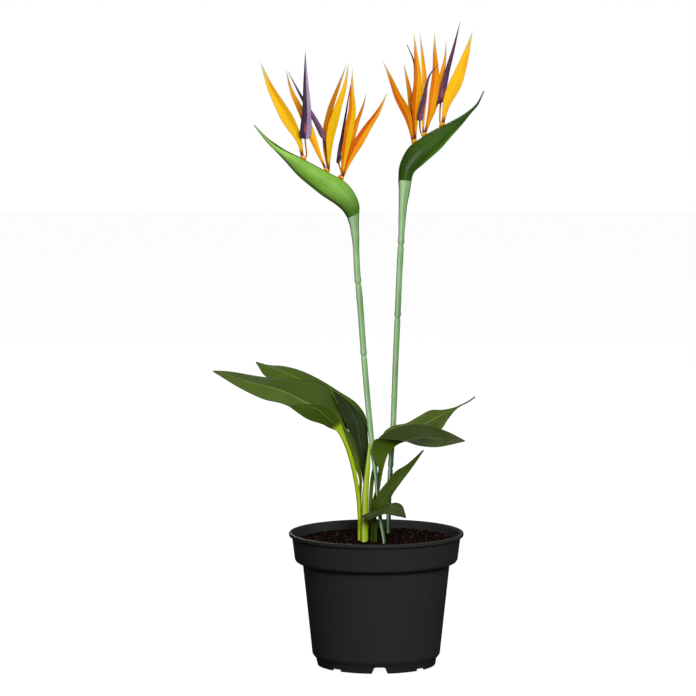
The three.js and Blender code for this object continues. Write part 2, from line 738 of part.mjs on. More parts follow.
function spathe(side) {
  const steps = (SPATHE_ROWS[side].length - 1) * SPATHE_STEPS_PER_ROW;
  const rings = Array.from({ length: steps + 1 }, (_, i) => {
    const station = spatheStation(side, i / SPATHE_STEPS_PER_ROW);
    return spatheOutline(station).map(([w, d]) => station.lip.clone()
      .addScaledVector(station.across, w)
      .addScaledVector(station.up, d));
  });
  const cap = spatheOutline(spatheStation(side, 0));
  return loft(rings, cap.map(([w, d]) => new THREE.Vector2(w, d)));
}

// Half width along a sepal, from its narrow root to its pointed tip.
const SEPAL_ROOT_SHARE = 0.26;
const SEPAL_WIDEST = 0.42;
const SEPAL_POINT = 1.25;

function sepalShape(t) {
  if (t < SEPAL_WIDEST) {
    return THREE.MathUtils.lerp(SEPAL_ROOT_SHARE, 1, THREE.MathUtils.smoothstep(t, 0, SEPAL_WIDEST));
  }
  return 1 - ((t - SEPAL_WIDEST) / (1 - SEPAL_WIDEST)) ** SEPAL_POINT;
}

// Half width along an arrow petal: a thin stalk, then barbs, then a long point.
const BARB_RISE = 0.06;
const ARROW_POINT = 1.15;

function arrowShape(t, barb) {
  if (t < barb) {
    return THREE.MathUtils.smoothstep(t, barb - BARB_RISE, barb);
  }
  return 1 - ((t - barb) / (1 - barb)) ** ARROW_POINT;
}

const PETAL_HALF_THICKNESS = 0.45;
const PETAL_TIP_HALF_WIDTH = 0.4;
const TURN_STARTS = 0.05;
const TURN_ENDS = 0.28;

// A folded petal along a curve. Its face is turned about its length, and its halves fold
// back, by angles in degrees that grow from nothing at the root. An ease over 1 sets more of
// its steps near the root.
function petal(points, { halfWidth, turn = 0, fold, halfThickness, steps, ease = 1 }) {
  const curve = new THREE.CatmullRomCurve3(points);
  const grid = Array.from({ length: steps + 1 }, (_, i) => {
    const t = (i / steps) ** ease;
    const grown = THREE.MathUtils.smoothstep(t, TURN_STARTS, TURN_ENDS);
    const centre = curve.getPointAt(t);
    const tangent = curve.getTangentAt(t);
    const side = new THREE.Vector3().crossVectors(tangent, new THREE.Vector3(0, 1, 0)).normalize();
    side.applyAxisAngle(tangent, THREE.MathUtils.degToRad(turn * grown));
    const backward = new THREE.Vector3().crossVectors(side, tangent).normalize();
    const half = halfWidth(t);
    const sink = half * Math.sin(THREE.MathUtils.degToRad(fold * grown));
    return Array.from({ length: PETAL_COLUMNS + 1 }, (_, j) => {
      const s = (2 * j) / PETAL_COLUMNS - 1;
      return centre.clone().addScaledVector(side, s * half).addScaledVector(backward, -Math.abs(s) * sink);
    });
  });
  return blade(grid, (along, s) => halfThickness(along ** ease, s));
}

// Axes and depth of a spathe's slot at a station: along the lips, across, and square to both.
function slotStation(side, row) {
  const { lip, up: slant, across, slotDepth } = spatheStation(side, row);
  const lips = new THREE.CatmullRomCurve3(SPATHE_ROWS[side].map((r) => vec(r[0])));
  const along = lips.getTangent(row / (SPATHE_ROWS[side].length - 1));
  along.addScaledVector(across, -along.dot(across)).normalize();
  const up = new THREE.Vector3().crossVectors(along, across).normalize();
  return { lip, along, across, up, slotDepth: slotDepth * Math.abs(up.dot(slant)) };
}

// A place above a spathe's lip, from distances towards the beak, to the front and up.
function aboveLip({ lip, up, along, across }, [beak, front], rise) {
  return lip.clone()
    .addScaledVector(along, beak)
    .addScaledVector(across, -Math.sign(across.y) * front)
    .addScaledVector(up, rise);
}

// The claw that a floret grows from: a tongue in the spathe's slot under an oval collar.
function clawSolid(station) {
  const { along, across, up, slotDepth } = station;
  const basis = new THREE.Matrix4().makeBasis(along, across, up);
  const foot = GAP + CLAW_PLAY - slotDepth;
  const tongueTop = COLLAR_FOOT + 2 * CLAW_PLAY;
  const tongueWidth = 2 * (SLOT_HALF_WIDTH - GAP - CLAW_PLAY);
  const tongue = new THREE.BoxGeometry(CLAW_LENGTH, tongueWidth, tongueTop - foot);
  const tongueCentre = aboveLip(station, [0, 0], (tongueTop + foot) / 2);
  const collar = new THREE.CylinderGeometry(1, 1, COLLAR_TOP - COLLAR_FOOT, COLLAR_SIDES);
  collar.rotateX(Math.PI / 2).scale(COLLAR_HALF_LENGTH, COLLAR_HALF_WIDTH, 1);
  const collarCentre = aboveLip(station, [0, 0], (COLLAR_TOP + COLLAR_FOOT) / 2);
  return solidOf(tongue.applyMatrix4(basis.clone().setPosition(tongueCentre)))
    .add(solidOf(collar.applyMatrix4(basis.clone().setPosition(collarCentre))));
}

function socketSolid(station, root) {
  const { along, across, up } = station;
  const hole = new THREE.CylinderGeometry(SOCKET_RADIUS, SOCKET_RADIUS, SOCKET_HEIGHT, COLLAR_SIDES);
  hole.rotateX(Math.PI / 2);
  const centre = aboveLip(station, root, SOCKET_FOOT + SOCKET_HEIGHT / 2);
  return solidOf(hole.applyMatrix4(new THREE.Matrix4().makeBasis(along, across, up).setPosition(centre)));
}

const SEPAL_STEPS = 12;
const SEPAL_FOLD = 24;
const SEPAL_ROOT_RISE = 2.2;

function sepals({ spathe: side, row, sepals: list, arrow: { root: socket } }) {
  const station = slotStation(side, row);
  const solids = list.map(({ root, path, width, turn }) => {
    const points = [aboveLip(station, root, SEPAL_ROOT_RISE), ...path.map(vec)];
    return solidOf(petal(points, {
      halfWidth: (t) => Math.max(PETAL_TIP_HALF_WIDTH, width * sepalShape(t)),
      turn,
      fold: SEPAL_FOLD,
      halfThickness: () => PETAL_HALF_THICKNESS,
      steps: SEPAL_STEPS,
    }));
  });
  const whole = solids.reduce((sum, solid) => sum.add(solid), clawSolid(station));
  return geometryFrom(whole.subtract(socketSolid(station, socket)));
}

const ARROW_STEPS = 18;
const ARROW_EASE = 1.25;
const ARROW_STRAIGHT = 1.5;
const ARROW_FOLD = 30;
const ARROW_STALK_HALF_WIDTH = 0.8;
const KNOB_RADIUS = 4.2;
const KNOB_SIDES = 12;

function arrow({ spathe: side, row, arrow: { root, path, width, turn, barb, knob } }) {
  const station = slotStation(side, row);
  const points = [
    aboveLip(station, root, SOCKET_FOOT + 2 * GAP),
    aboveLip(station, root, COLLAR_TOP + ARROW_STRAIGHT),
    ...path.map(vec),
  ];
  const whole = petal(points, {
    halfWidth: (t) => {
      const thinnest = t < barb ? ARROW_STALK_HALF_WIDTH : PETAL_TIP_HALF_WIDTH;
      return Math.max(thinnest, width * arrowShape(t, barb));
    },
    turn,
    fold: ARROW_FOLD,
    halfThickness: (t) => (t < barb ? ARROW_STALK_HALF_WIDTH : PETAL_HALF_THICKNESS),
    steps: ARROW_STEPS,
    ease: ARROW_EASE,
  });
  if (!knob) {
    return whole;
  }
  const ball = new THREE.SphereGeometry(KNOB_RADIUS, KNOB_SIDES, KNOB_SIDES / 2);
  return geometryFrom(solidOf(whole).add(solidOf(ball.translate(...knob))));
}

// Pot wall, band, rim, raised floor and foot as one turned profile.
function potProfile() {
  return [
    [0, 0],
    [CENTRE_FOOT_RADIUS, 0],
    [CENTRE_FOOT_RADIUS + 1, HOLLOW_HEIGHT],
    [FOOT_TOP_RADIUS - FOOT_WALL, HOLLOW_HEIGHT],
    [FOOT_RADIUS - FOOT_WALL, 0],
    [FOOT_RADIUS, 0],
    [FOOT_TOP_RADIUS, FOOT_TOP_HEIGHT],
    [BODY_FOOT_RADIUS, BODY_FOOT_HEIGHT],
    [BODY_TOP_RADIUS, BODY_TOP_HEIGHT],
    [BAND_FOOT_RADIUS - BAND_TUCK, BODY_TOP_HEIGHT + BAND_TUCK],
    [BAND_FOOT_RADIUS, BAND_FOOT_HEIGHT],
    [BAND_TOP_RADIUS, POT_HEIGHT - RIM_DEPTH - 2],
    [RIM_RADIUS - RIM_EDGE, POT_HEIGHT - RIM_DEPTH],
    [RIM_RADIUS, POT_HEIGHT - RIM_DEPTH + RIM_UNDERCUT],
    [RIM_RADIUS, POT_HEIGHT - RIM_EDGE],
    [RIM_RADIUS - RIM_EDGE, POT_HEIGHT],
    [RIM_RADIUS - RIM_INSET, POT_HEIGHT],
    [BAND_TOP_RADIUS - WALL, POT_HEIGHT - RIM_DEPTH],
    [BAND_FOOT_RADIUS - WALL, BAND_FOOT_HEIGHT + 1],
    [BODY_TOP_RADIUS - WALL, BODY_TOP_HEIGHT + 2],
    [BODY_FOOT_RADIUS - WALL, INSIDE_FOOT_HEIGHT],
    [FOOT_TOP_RADIUS - 1, FLOOR_TOP],
    [0, FLOOR_TOP],
  ];
}

// A drain notch: an arch through the foot ring, wider at the ground.
function notchGeometry() {
  const half = NOTCH_WIDTH / 2;
  const shoulder = NOTCH_HEIGHT - NOTCH_CROWN;
  const shape = new THREE.Shape();
  shape.moveTo(-NOTCH_FLARE / 2, -1);
  shape.lineTo(NOTCH_FLARE / 2, -1);
  shape.lineTo(half, shoulder);
  shape.quadraticCurveTo(half, NOTCH_HEIGHT, half - NOTCH_CROWN, NOTCH_HEIGHT);
  shape.lineTo(NOTCH_CROWN - half, NOTCH_HEIGHT);
  shape.quadraticCurveTo(-half, NOTCH_HEIGHT, -half, shoulder);
  shape.closePath();
  const geometry = new THREE.ExtrudeGeometry(shape, {
    depth: CUT_DEPTH,
    bevelEnabled: false,
    curveSegments: 3,
  });
  return geometry.rotateX(Math.PI / 2).translate(0, CUT_DEPTH / 2 + FOOT_WALL - FOOT_RADIUS, 0);
}

function pot() {
  const profile = potProfile().map(([r, z]) => new THREE.Vector2(r, z));
  let solid = solidOf(new THREE.LatheGeometry(profile, POT_SIDES).rotateX(Math.PI / 2));
  const turn = THREE.MathUtils.degToRad(PAD_TURN);
  const gapWidth = 2 * FOOT_RADIUS * Math.sin(THREE.MathUtils.degToRad(PAD_GAP_ANGLE / 2));
  for (let k = 0; k < PADS; k += 1) {
    const angle = turn + (k * 2 * Math.PI) / PADS;
    solid = solid.subtract(solidOf(notchGeometry().rotateZ(angle)));
    const gap = new THREE.BoxGeometry(gapWidth, CUT_DEPTH, 2 * PAD_GAP_HEIGHT);
    gap.translate(0, -FOOT_RADIUS, 0).rotateZ(angle + Math.PI / PADS);
    solid = solid.subtract(solidOf(gap));
  }
  for (let k = 0; k < DRAIN_HOLES; k += 1) {
    const hole = new THREE.CylinderGeometry(DRAIN_HOLE_RADIUS, DRAIN_HOLE_RADIUS, CUT_DEPTH, DRAIN_SIDES);
    hole.rotateX(Math.PI / 2).translate(0, -DRAIN_CIRCLE_RADIUS, HOLLOW_HEIGHT + 1);
    hole.rotateZ(turn + ((k + 0.5) * 2 * Math.PI) / DRAIN_HOLES);
    solid = solid.subtract(solidOf(hole));
  }
  return geometryFrom(solid);
}

function soilTop(x, y) {
  const [hx, hy] = SOIL_HEAP_AT;
  const heap = SOIL_HEAP * Math.exp(-((x - hx) ** 2 + (y - hy) ** 2) / SOIL_HEAP_SPREAD ** 2);
  const wave = Math.sin(x / SOIL_WAVE_ACROSS) * Math.cos(y / SOIL_WAVE_DEEP);
  return SOIL_LEVEL + heap + SOIL_WAVES * wave;
}

function soil() {
  const floor = FLOOR_TOP + GAP;
  const profile = [
    [0, floor],
    [FOOT_TOP_RADIUS - 1 - GAP, floor],
    [BODY_FOOT_RADIUS - SOIL_PLAY, INSIDE_FOOT_HEIGHT],
    [BODY_TOP_RADIUS - SOIL_PLAY, BODY_TOP_HEIGHT + 3],
    [BAND_FOOT_RADIUS - SOIL_PLAY, BAND_FOOT_HEIGHT + 2],
    [BAND_TOP_RADIUS - SOIL_PLAY - 2 * GAP, SOIL_LEVEL],
    ...SOIL_RINGS.map((radius) => [radius, SOIL_LEVEL]),
  ].map(([r, z]) => new THREE.Vector2(r, z));
  const body = new THREE.LatheGeometry(profile, SOIL_SIDES).rotateX(Math.PI / 2);
  const position = body.attributes.position;
  for (let i = 0; i < position.count; i += 1) {
    if (Math.abs(position.getZ(i) - SOIL_LEVEL) < 0.01) {
      position.setZ(i, soilTop(position.getX(i), position.getY(i)));
    }
  }
  const stems = [
    ...Object.values(FLOWER_STEMS).map(({ path, radius }) => [path[0], radius[0][1]]),
    ...Object.values(LEAVES).map(({ stalk, radius }) => [stalk[0], radius]),
    [BENT_LEAF.stalk[0], BENT_LEAF.radius[0][1]],
    [SPEAR.path[0], SPEAR.radius[0][1]],
  ];
  let solid = solidOf(body);
  for (const [[x, y], radius] of stems) {
    const height = SOIL_LEVEL - STEM_FOOT + HOLE_HEADROOM;
    const hole = new THREE.CylinderGeometry(radius + HOLE_PLAY, radius + HOLE_PLAY, height, HOLE_SIDES);
    hole.rotateX(Math.PI / 2).translate(x, y, STEM_FOOT - GAP + height / 2);
    solid = solid.subtract(solidOf(hole));
  }
  return geometryFrom(solid);
}

function spear({ path, radius, heights }) {
  return rod(path, heights, (height) => valueAt(radius, height));
}

const plant = new THREE.Group();

function addNode(name, geometry, color, roughness) {
  geometry.computeVertexNormals();
  const mesh = new THREE.Mesh(geometry, new THREE.MeshStandardMaterial({ color, roughness, metalness: 0 }));
  mesh.name = name;
  plant.add(mesh);
}

addNode('pot', pot(), COLOURS.pot, SATIN);
addNode('soil', soil(), COLOURS.soil, CRUMBLY);
for (const side of Object.keys(FLOWER_STEMS)) {
  addNode(`flower_stem_${side}`, flowerStem(side), COLOURS.stem, SOFT);
  addNode(`spathe_${side}`, spathe(side), COLOURS[`spathe_${side}`], SATIN);
}
for (const [name, floret] of Object.entries(FLORETS)) {
  addNode(`sepals_${name}`, sepals(floret), COLOURS.sepals, SOFT);
  addNode(`arrow_${name}`, arrow(floret), COLOURS.arrow, SOFT);
}
for (const [name, shape] of Object.entries(LEAVES)) {
  addNode(name, leaf(shape), COLOURS[name] ?? DARK_LEAF, SATIN);
}
addNode(BENT_LEAF.name, bentLeaf(BENT_LEAF), DARK_LEAF, SATIN);
addNode('leaf_spear', spear(SPEAR), COLOURS.spear, SATIN);

export default plant;
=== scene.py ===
"""Looks of the potted bird of paradise: pot, compost, leaves and two flower heads."""
import logging
import math
import random
from collections.abc import Callable, Mapping, Sequence
from dataclasses import dataclass, field
from enum import Enum

import bmesh
import bpy
from mathutils import Matrix, Vector, noise


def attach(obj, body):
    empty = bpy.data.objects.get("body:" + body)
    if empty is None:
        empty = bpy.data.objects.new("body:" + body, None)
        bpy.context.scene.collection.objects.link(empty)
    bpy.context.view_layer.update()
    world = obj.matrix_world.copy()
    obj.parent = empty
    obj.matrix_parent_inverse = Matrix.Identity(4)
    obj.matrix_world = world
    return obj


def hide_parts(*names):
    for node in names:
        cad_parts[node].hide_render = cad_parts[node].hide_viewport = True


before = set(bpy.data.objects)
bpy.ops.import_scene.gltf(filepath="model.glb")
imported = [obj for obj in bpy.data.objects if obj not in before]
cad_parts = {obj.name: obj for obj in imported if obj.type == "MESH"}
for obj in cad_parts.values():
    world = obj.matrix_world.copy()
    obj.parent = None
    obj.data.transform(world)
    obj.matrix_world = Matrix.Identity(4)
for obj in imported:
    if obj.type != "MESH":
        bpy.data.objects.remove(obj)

LOG = logging.getLogger("bird_of_paradise")
MM = 0.001
WELD = 1e-4
BODY = "root"
Span = tuple[float, float]
Edge = tuple[Span, ...]
Point = tuple[float, float, float]
Row = tuple[Point, Point, Point]
Ring = list[Vector]
Colour = tuple[int, int, int]
Outputs = Mapping[str, bpy.types.NodeSocket]


def smooth(low: float, high: float, value: float) -> float:
    """Returns 0 below low, 1 above high, and an eased share between them."""
    share = min(max((value - low) / (high - low), 0.0), 1.0)
    return share * share * (3 - 2 * share)


def blend(a: float, b: float, share: float) -> float:
    """Returns the value at a share of the way from a to b."""
    return a + (b - a) * share


def paint(colour: Colour) -> tuple[float, float, float, float]:
    """Turns a colour of 0 to 255 a channel into Blender's linear colour, by the sRGB curve."""
    linear = [((c / 255 + 0.055) / 1.055) ** 2.4 if c > 10 else c / 3295 for c in colour]
    return (linear[0], linear[1], linear[2], 1.0)


def hump(offset: float, reach: float) -> float:
    """Returns 1 at no offset, falling smoothly towards 0 beyond the reach."""
    return math.exp(-((offset / reach) ** 2))


def value_at(pairs: Sequence[Span], height: float) -> float:
    """Reads a value at a height from pairs of height and value.

    Args:
        pairs: heights in rising order, each with its value.
        height: where to read.

    Returns:
        The value, held level beyond both ends.
    """
    if height <= pairs[0][0]:
        return pairs[0][1]
    for (h0, v0), (h1, v1) in zip(pairs, pairs[1:]):
        if height <= h1:
            return blend(v0, v1, (height - h0) / (h1 - h0))
    return pairs[-1][1]


class SmoothLine:
    """A smooth curve through points, in millimetres."""

    SAMPLES = 160
    STEP = 1e-4
    SHORTEST = 1e-9
    HALVINGS = 24

    def __init__(self, points: Sequence[Point]) -> None:
        """Takes the points that the curve runs through."""
        self.points = [Vector(p) for p in points]
        self._lengths: list[float] = []

    def at(self, t: float) -> Vector:
        """Returns the point at a share t of the curve's spans."""
        spans = len(self.points) - 1
        place = min(max(t, 0.0), 1.0) * spans
        i = min(int(place), spans - 1)
        w = place - i
        p1, p2 = self.points[i], self.points[i + 1]
        p0 = self.points[i - 1] if i > 0 else 2 * p1 - p2
        p3 = self.points[i + 2] if i + 2 <= spans else 2 * p2 - p1
        d1 = math.sqrt((p2 - p1).length) or 1.0
        d0 = math.sqrt((p1 - p0).length) or d1
        d2 = math.sqrt((p3 - p2).length) or d1
        m1 = ((p1 - p0) / d0 - (p2 - p0) / (d0 + d1) + (p2 - p1) / d1) * d1
        m2 = ((p2 - p1) / d1 - (p3 - p1) / (d1 + d2) + (p3 - p2) / d2) * d1
        cubic = 2 * p1 - 2 * p2 + m1 + m2
        square = -3 * p1 + 3 * p2 - 2 * m1 - m2
        return p1 + m1 * w + square * w * w + cubic * w * w * w

    def slope(self, t: float) -> Vector:
        """Returns the curve's direction at a share t of its spans."""
        before = self.at(max(t - self.STEP, 0.0))
        return (self.at(min(t + self.STEP, 1.0)) - before).normalized()

    def even(self, share: float) -> float:
        """Turns a share of the curve's length into a share of its spans."""
        if not self._lengths:
            self._lengths = [0.0]
            last = self.at(0)
            for n in range(1, self.SAMPLES + 1):
                here = self.at(n / self.SAMPLES)
                self._lengths.append(self._lengths[-1] + (here - last).length)
                last = here
        want = share * self._lengths[-1]
        for n, (a, b) in enumerate(zip(self._lengths, self._lengths[1:])):
            if want <= b:
                return (n + (want - a) / max(b - a, self.SHORTEST)) / self.SAMPLES
        return 1.0

    def at_height(self, height: float) -> float:
        """Returns the share of spans at which a rising curve passes a height."""
        low, high = 0.0, 1.0
        for _ in range(self.HALVINGS):
            middle = (low + high) / 2
            if self.at(middle).z < height:
                low = middle
            else:
                high = middle
        return (low + high) / 2


# Meshes

def roll_skin(bm: bmesh.types.BMesh, rings: Sequence[Ring], tone: Span = (0, 0)) -> None:
    """Rolls a grid into a skin over rings of points and closes its two ends.

    Args:
        bm: the mesh that takes the skin.
        rings: rings with equally many points, from the foot to the tip.
        tone: two values that the skin's finish reads at every corner.
    """
    count, steps = len(rings[0]), len(rings) - 1
    old = set(bm.faces)
    made = bmesh.ops.create_grid(bm, x_segments=count, y_segments=steps, size=0.5, calc_uvs=True)
    for vert in made["verts"]:
        i = round((vert.co.y + 0.5) * steps)
        k = round((vert.co.x + 0.5) * count) % count
        vert.co = rings[i][k]
    bmesh.ops.remove_doubles(bm, verts=made["verts"], dist=WELD)
    open_edges = [edge for edge in bm.edges if edge.is_boundary]
    bmesh.ops.holes_fill(bm, edges=open_edges, sides=0)
    tones = bm.loops.layers.uv["tone"]
    for face in bm.faces:
        if face not in old:
            for loop in face.loops:
                loop[tones].uv = tone


def new_mesh() -> bmesh.types.BMesh:
    """Starts a mesh in millimetres with the two maps that the finishes read."""
    bm = bmesh.new()
    bm.loops.layers.uv.new("place")
    bm.loops.layers.uv.new("tone")
    return bm


def place_mesh(name: str, bm: bmesh.types.BMesh) -> bpy.types.Object:
    """Puts a mesh into the scene as an object, and uses the mesh up."""
    mesh = bpy.data.meshes.new(name)
    bm.to_mesh(mesh)
    bm.free()
    placed = bpy.data.objects.new(name, mesh)
    bpy.context.scene.collection.objects.link(placed)
    return placed


def finish_piece(
    name: str,
    bm: bmesh.types.BMesh,
    finish: bpy.types.Material,
    replaced: Sequence[str] = (),
    crease: float = 40.0,
) -> None:
    """Turns a mesh in millimetres into a dressed piece that rides on the plant.

    Args:
        name: the piece's name.
        bm: its mesh, which is used up.
        finish: its material.
        replaced: the CAD nodes that it stands for.
        crease: the angle in degrees above which an edge stays sharp.
    """
    bmesh.ops.recalc_face_normals(bm, faces=bm.faces)
    bmesh.ops.scale(bm, vec=(MM, MM, MM), verts=bm.verts)
    piece = place_mesh(name, bm)
    piece.data.shade_smooth()
    piece.data.set_sharp_from_angle(angle=math.radians(crease))
    piece.data.materials.append(finish)
    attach(piece, BODY)
    if replaced:
        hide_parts(*replaced)
    LOG.info("%s: %d faces", name, len(piece.data.polygons))


def spread(columns: int) -> list[float]:
    """Returns places across a blade from -1 to 1, closer together at its margins."""
    return [-math.cos(math.pi * j / columns) for j in range(columns + 1)]


def blade_rings(grid: Sequence[Ring], half: Callable[[float, float], Span]) -> list[Ring]:
    """Wraps a thin blade round a sheet of middle points.

    Args:
        grid: rows of middle points at the places that spread() gives.
        half: gives the distances to the upper and lower face from a share along the blade
            and a place across it.

    Returns:
        The blade's rings, upper face first.
    """
    rows, columns = len(grid), len(grid[0])
    places = spread(columns - 1)
    rings = []
    for i in range(rows):
        upper, lower = [], []
        for j in range(columns):
            along = grid[min(i + 1, rows - 1)][j] - grid[max(i - 1, 0)][j]
            across = grid[i][min(j + 1, columns - 1)] - grid[i][max(j - 1, 0)]
            normal = across.cross(along).normalized()
            above, below = half(i / (rows - 1), places[j])
            upper.append(grid[i][j] + normal * above)
            lower.append(grid[i][j] - normal * below)
        middle = (upper[0] + lower[0]) / 2
        far = (upper[-1] + lower[-1]) / 2
        rings.append([middle, *upper[1:-1], far, *lower[-2:0:-1]])
    return rings


def turns(count: int) -> list[float]:
    """Returns evenly spaced angles of a full turn."""
    return [2 * math.pi * k / count for k in range(count)]


def round_ring(centre: Vector, right: Vector, back: Vector, radii: Sequence[float]) -> Ring:
    """Returns a ring of points round a centre, with one radius for each point."""
    return [
        centre + right * (math.cos(angle) * radius) + back * (math.sin(angle) * radius)
        for angle, radius in zip(turns(len(radii)), radii)
    ]


def oval_ring(centre: Vector, right: Vector, back: Vector, halves: Span, count: int) -> Ring:
    """Returns an oval ring from its half widths to the right and to the back."""
    wide, deep = halves
    return [
        centre + right * (math.cos(angle) * wide) + back * (math.sin(angle) * deep)
        for angle in turns(count)
    ]


def stem_ring(curve: SmoothLine, share: float, radii: Sequence[float]) -> Ring:
    """Returns a ring round an upright curve, at a share of the curve's spans."""
    slope = curve.slope(share)
    right = Vector((0, 1, 0)).cross(slope).normalized()
    return round_ring(curve.at(share), right, slope.cross(right), radii)


# Finishes

class NodeBench:
    """Places nodes in one tree and links them."""

    def __init__(self, tree: bpy.types.NodeTree) -> None:
        """Takes the tree to work in."""
        self.tree = tree

    def node(self, kind: str, **settings: object) -> bpy.types.Node:
        """Adds a node and sets its properties."""
        made = self.tree.nodes.new(kind)
        for key, value in settings.items():
            setattr(made, key, value)
        return made

    def feed(self, socket: bpy.types.NodeSocket, value: object) -> None:
        """Links or sets an input."""
        if isinstance(value, bpy.types.NodeSocket):
            self.tree.links.new(value, socket)
        else:
            socket.default_value = value

    def maths(self, operation: str, *values: object, clamp: bool = False) -> bpy.types.NodeSocket:
        """Adds a Math node and returns its output."""
        made = self.node("ShaderNodeMath", operation=operation, use_clamp=clamp)
        for socket, value in zip(made.inputs, values):
            self.feed(socket, value)
        return made.outputs[0]

    def mix(self, share: object, first: object, second: object) -> bpy.types.NodeSocket:
        """Mixes two colours and returns the result."""
        made = self.node("ShaderNodeMix", data_type="RGBA")
        self.feed(made.inputs[0], share)
        self.feed(made.inputs[6], first)
        self.feed(made.inputs[7], second)
        return made.outputs[2]

    def tint(self, colour: object, mask: object, share: float, tone: Colour) -> bpy.types.NodeSocket:
        """Mixes a share of a tone into a colour where a mask lets it."""
        return self.mix(self.maths("MULTIPLY", mask, share), colour, paint(tone))

    def band(self, value: object, low: float, high: float) -> bpy.types.NodeSocket:
        """Returns an eased share of a value between two limits."""
        made = self.node("ShaderNodeMapRange", interpolation_type="SMOOTHSTEP")
        self.feed(made.inputs[0], value)
        made.inputs[1].default_value = low
        made.inputs[2].default_value = high
        return made.outputs[0]

    def noise(self, scale: float, stretch: Point = (1, 1, 1), detail: float = 3.0) -> bpy.types.NodeSocket:
        """Returns noise on the piece's own coordinates, with stretched features."""
        coordinates = self.node("ShaderNodeTexCoord")
        mapping = self.node("ShaderNodeMapping")
        mapping.inputs["Scale"].default_value = stretch
        self.feed(mapping.inputs["Vector"], coordinates.outputs["Object"])
        made = self.node("ShaderNodeTexNoise")
        self.feed(made.inputs["Vector"], mapping.outputs["Vector"])
        made.inputs["Scale"].default_value = scale
        made.inputs["Detail"].default_value = detail
        return made.outputs[0]

    def group(self, tree: bpy.types.NodeTree, **values: object) -> bpy.types.Node:
        """Places a shared effect with its own values."""
        made = self.node("ShaderNodeGroup", node_tree=tree)
        for key, value in values.items():
            self.feed(made.inputs[key], value)
        return made

    def map_value(self, name: str, axis: str) -> bpy.types.NodeSocket:
        """Reads one axis of a UV map."""
        source = self.node("ShaderNodeUVMap", uv_map=name)
        parts = self.node("ShaderNodeSeparateXYZ")
        self.feed(parts.inputs[0], source.outputs[0])
        return parts.outputs[axis]


def start_group(name: str, inputs: Sequence[tuple[str, float]], outputs: Sequence[str]) -> NodeBench:
    """Starts a shared effect with number inputs and outputs."""
    tree = bpy.data.node_groups.new(name, "ShaderNodeTree")
    for label, value in inputs:
        socket = tree.interface.new_socket(label, in_out="INPUT", socket_type="NodeSocketFloat")
        socket.default_value = value
    for label in outputs:
        tree.interface.new_socket(label, in_out="OUTPUT", socket_type="NodeSocketFloat")
    return NodeBench(tree)


class SharedEffects:
    """The effects that more than one finish uses."""

    WANDER_SCALE = 60.0
    WANDER = 1.4
    LINE_SHARPNESS = 5.0
    PATCH_SCALE = 28.0
    GRAIN_SCALE = 900.0

    def __init__(self) -> None:
        """Builds each effect once."""
        self.place = self._place()
        self.veins = self._veins()
        self.mottle = self._mottle()

    @staticmethod
    def _place() -> bpy.types.NodeTree:
        """Builds the effect that says where on a blade a point lies."""
        bench = start_group("blade_place", (), ("Across", "Along", "Margin", "Under"))
        round_share = bench.map_value("place", "X")
        doubled = bench.maths("MULTIPLY", round_share, 2.0)
        folded = bench.maths("PINGPONG", doubled, 1.0)
        angle = bench.maths("MULTIPLY", bench.maths("SUBTRACT", folded, 0.5), math.pi)
        across = bench.maths("SINE", angle)
        out = bench.node("NodeGroupOutput")
        bench.feed(out.inputs["Across"], across)
        bench.feed(out.inputs["Along"], bench.map_value("place", "Y"))
        bench.feed(out.inputs["Margin"], bench.maths("ABSOLUTE", across))
        bench.feed(out.inputs["Under"], bench.maths("GREATER_THAN", round_share, 0.5))
        return bench.tree

    def _veins(self) -> bpy.types.NodeTree:
        """Builds long veins that run with a blade and lean towards its margin."""
        bench = start_group(
            "long_veins", (("Across", 0), ("Along", 0), ("Count", 20), ("Lean", 2)), ("Lines", "Wave")
        )
        source = bench.node("NodeGroupInput")
        wander = bench.maths("MULTIPLY", bench.noise(self.WANDER_SCALE, detail=2.0), self.WANDER)
        margin = bench.maths("ABSOLUTE", source.outputs["Across"])
        lean = bench.maths("MULTIPLY", source.outputs["Along"], source.outputs["Lean"])
        phase = bench.maths("MULTIPLY", margin, source.outputs["Count"])
        phase = bench.maths("ADD", bench.maths("ADD", phase, lean), wander)
        wave = bench.maths("SINE", bench.maths("MULTIPLY", phase, 2 * math.pi))
        eased = bench.maths("MULTIPLY_ADD", wave, 0.5, 0.5)
        out = bench.node("NodeGroupOutput")
        bench.feed(out.inputs["Lines"], bench.maths("POWER", eased, self.LINE_SHARPNESS))
        bench.feed(out.inputs["Wave"], eased)
        return bench.tree

    def _mottle(self) -> bpy.types.NodeTree:
        """Builds soft patches and fine grain on the piece's own coordinates."""
        bench = start_group("mottle", (("Contrast", 1.0),), ("Patches", "Grain"))
        source = bench.node("NodeGroupInput")
        patches = bench.maths("SUBTRACT", bench.noise(self.PATCH_SCALE), 0.5)
        patches = bench.maths("MULTIPLY_ADD", patches, source.outputs["Contrast"], 0.5, clamp=True)
        out = bench.node("NodeGroupOutput")
        bench.feed(out.inputs["Patches"], patches)
        bench.feed(out.inputs["Grain"], bench.noise(self.GRAIN_SCALE, detail=4.0))
        return bench.tree


@dataclass(frozen=True)
class Surface:
    """Gloss and relief of a finish, in the shader's own terms."""

    roughness: float
    specular: float
    bump: float = 0.2
    bump_depth: float = 0.3


def start_finish(
    name: str, surface: Surface
) -> tuple[bpy.types.Material, NodeBench, bpy.types.Node]:
    """Starts a material.

    Args:
        name: the finish's name.
        surface: its gloss and relief.

    Returns:
        The material, the bench of its tree and its Principled BSDF.
    """
    material = bpy.data.materials.new(f"{name}_finish")
    material.use_nodes = True
    shader = material.node_tree.nodes["Principled BSDF"]
    shader.inputs["Roughness"].default_value = surface.roughness
    shader.inputs["Specular IOR Level"].default_value = surface.specular
    return material, NodeBench(material.node_tree), shader


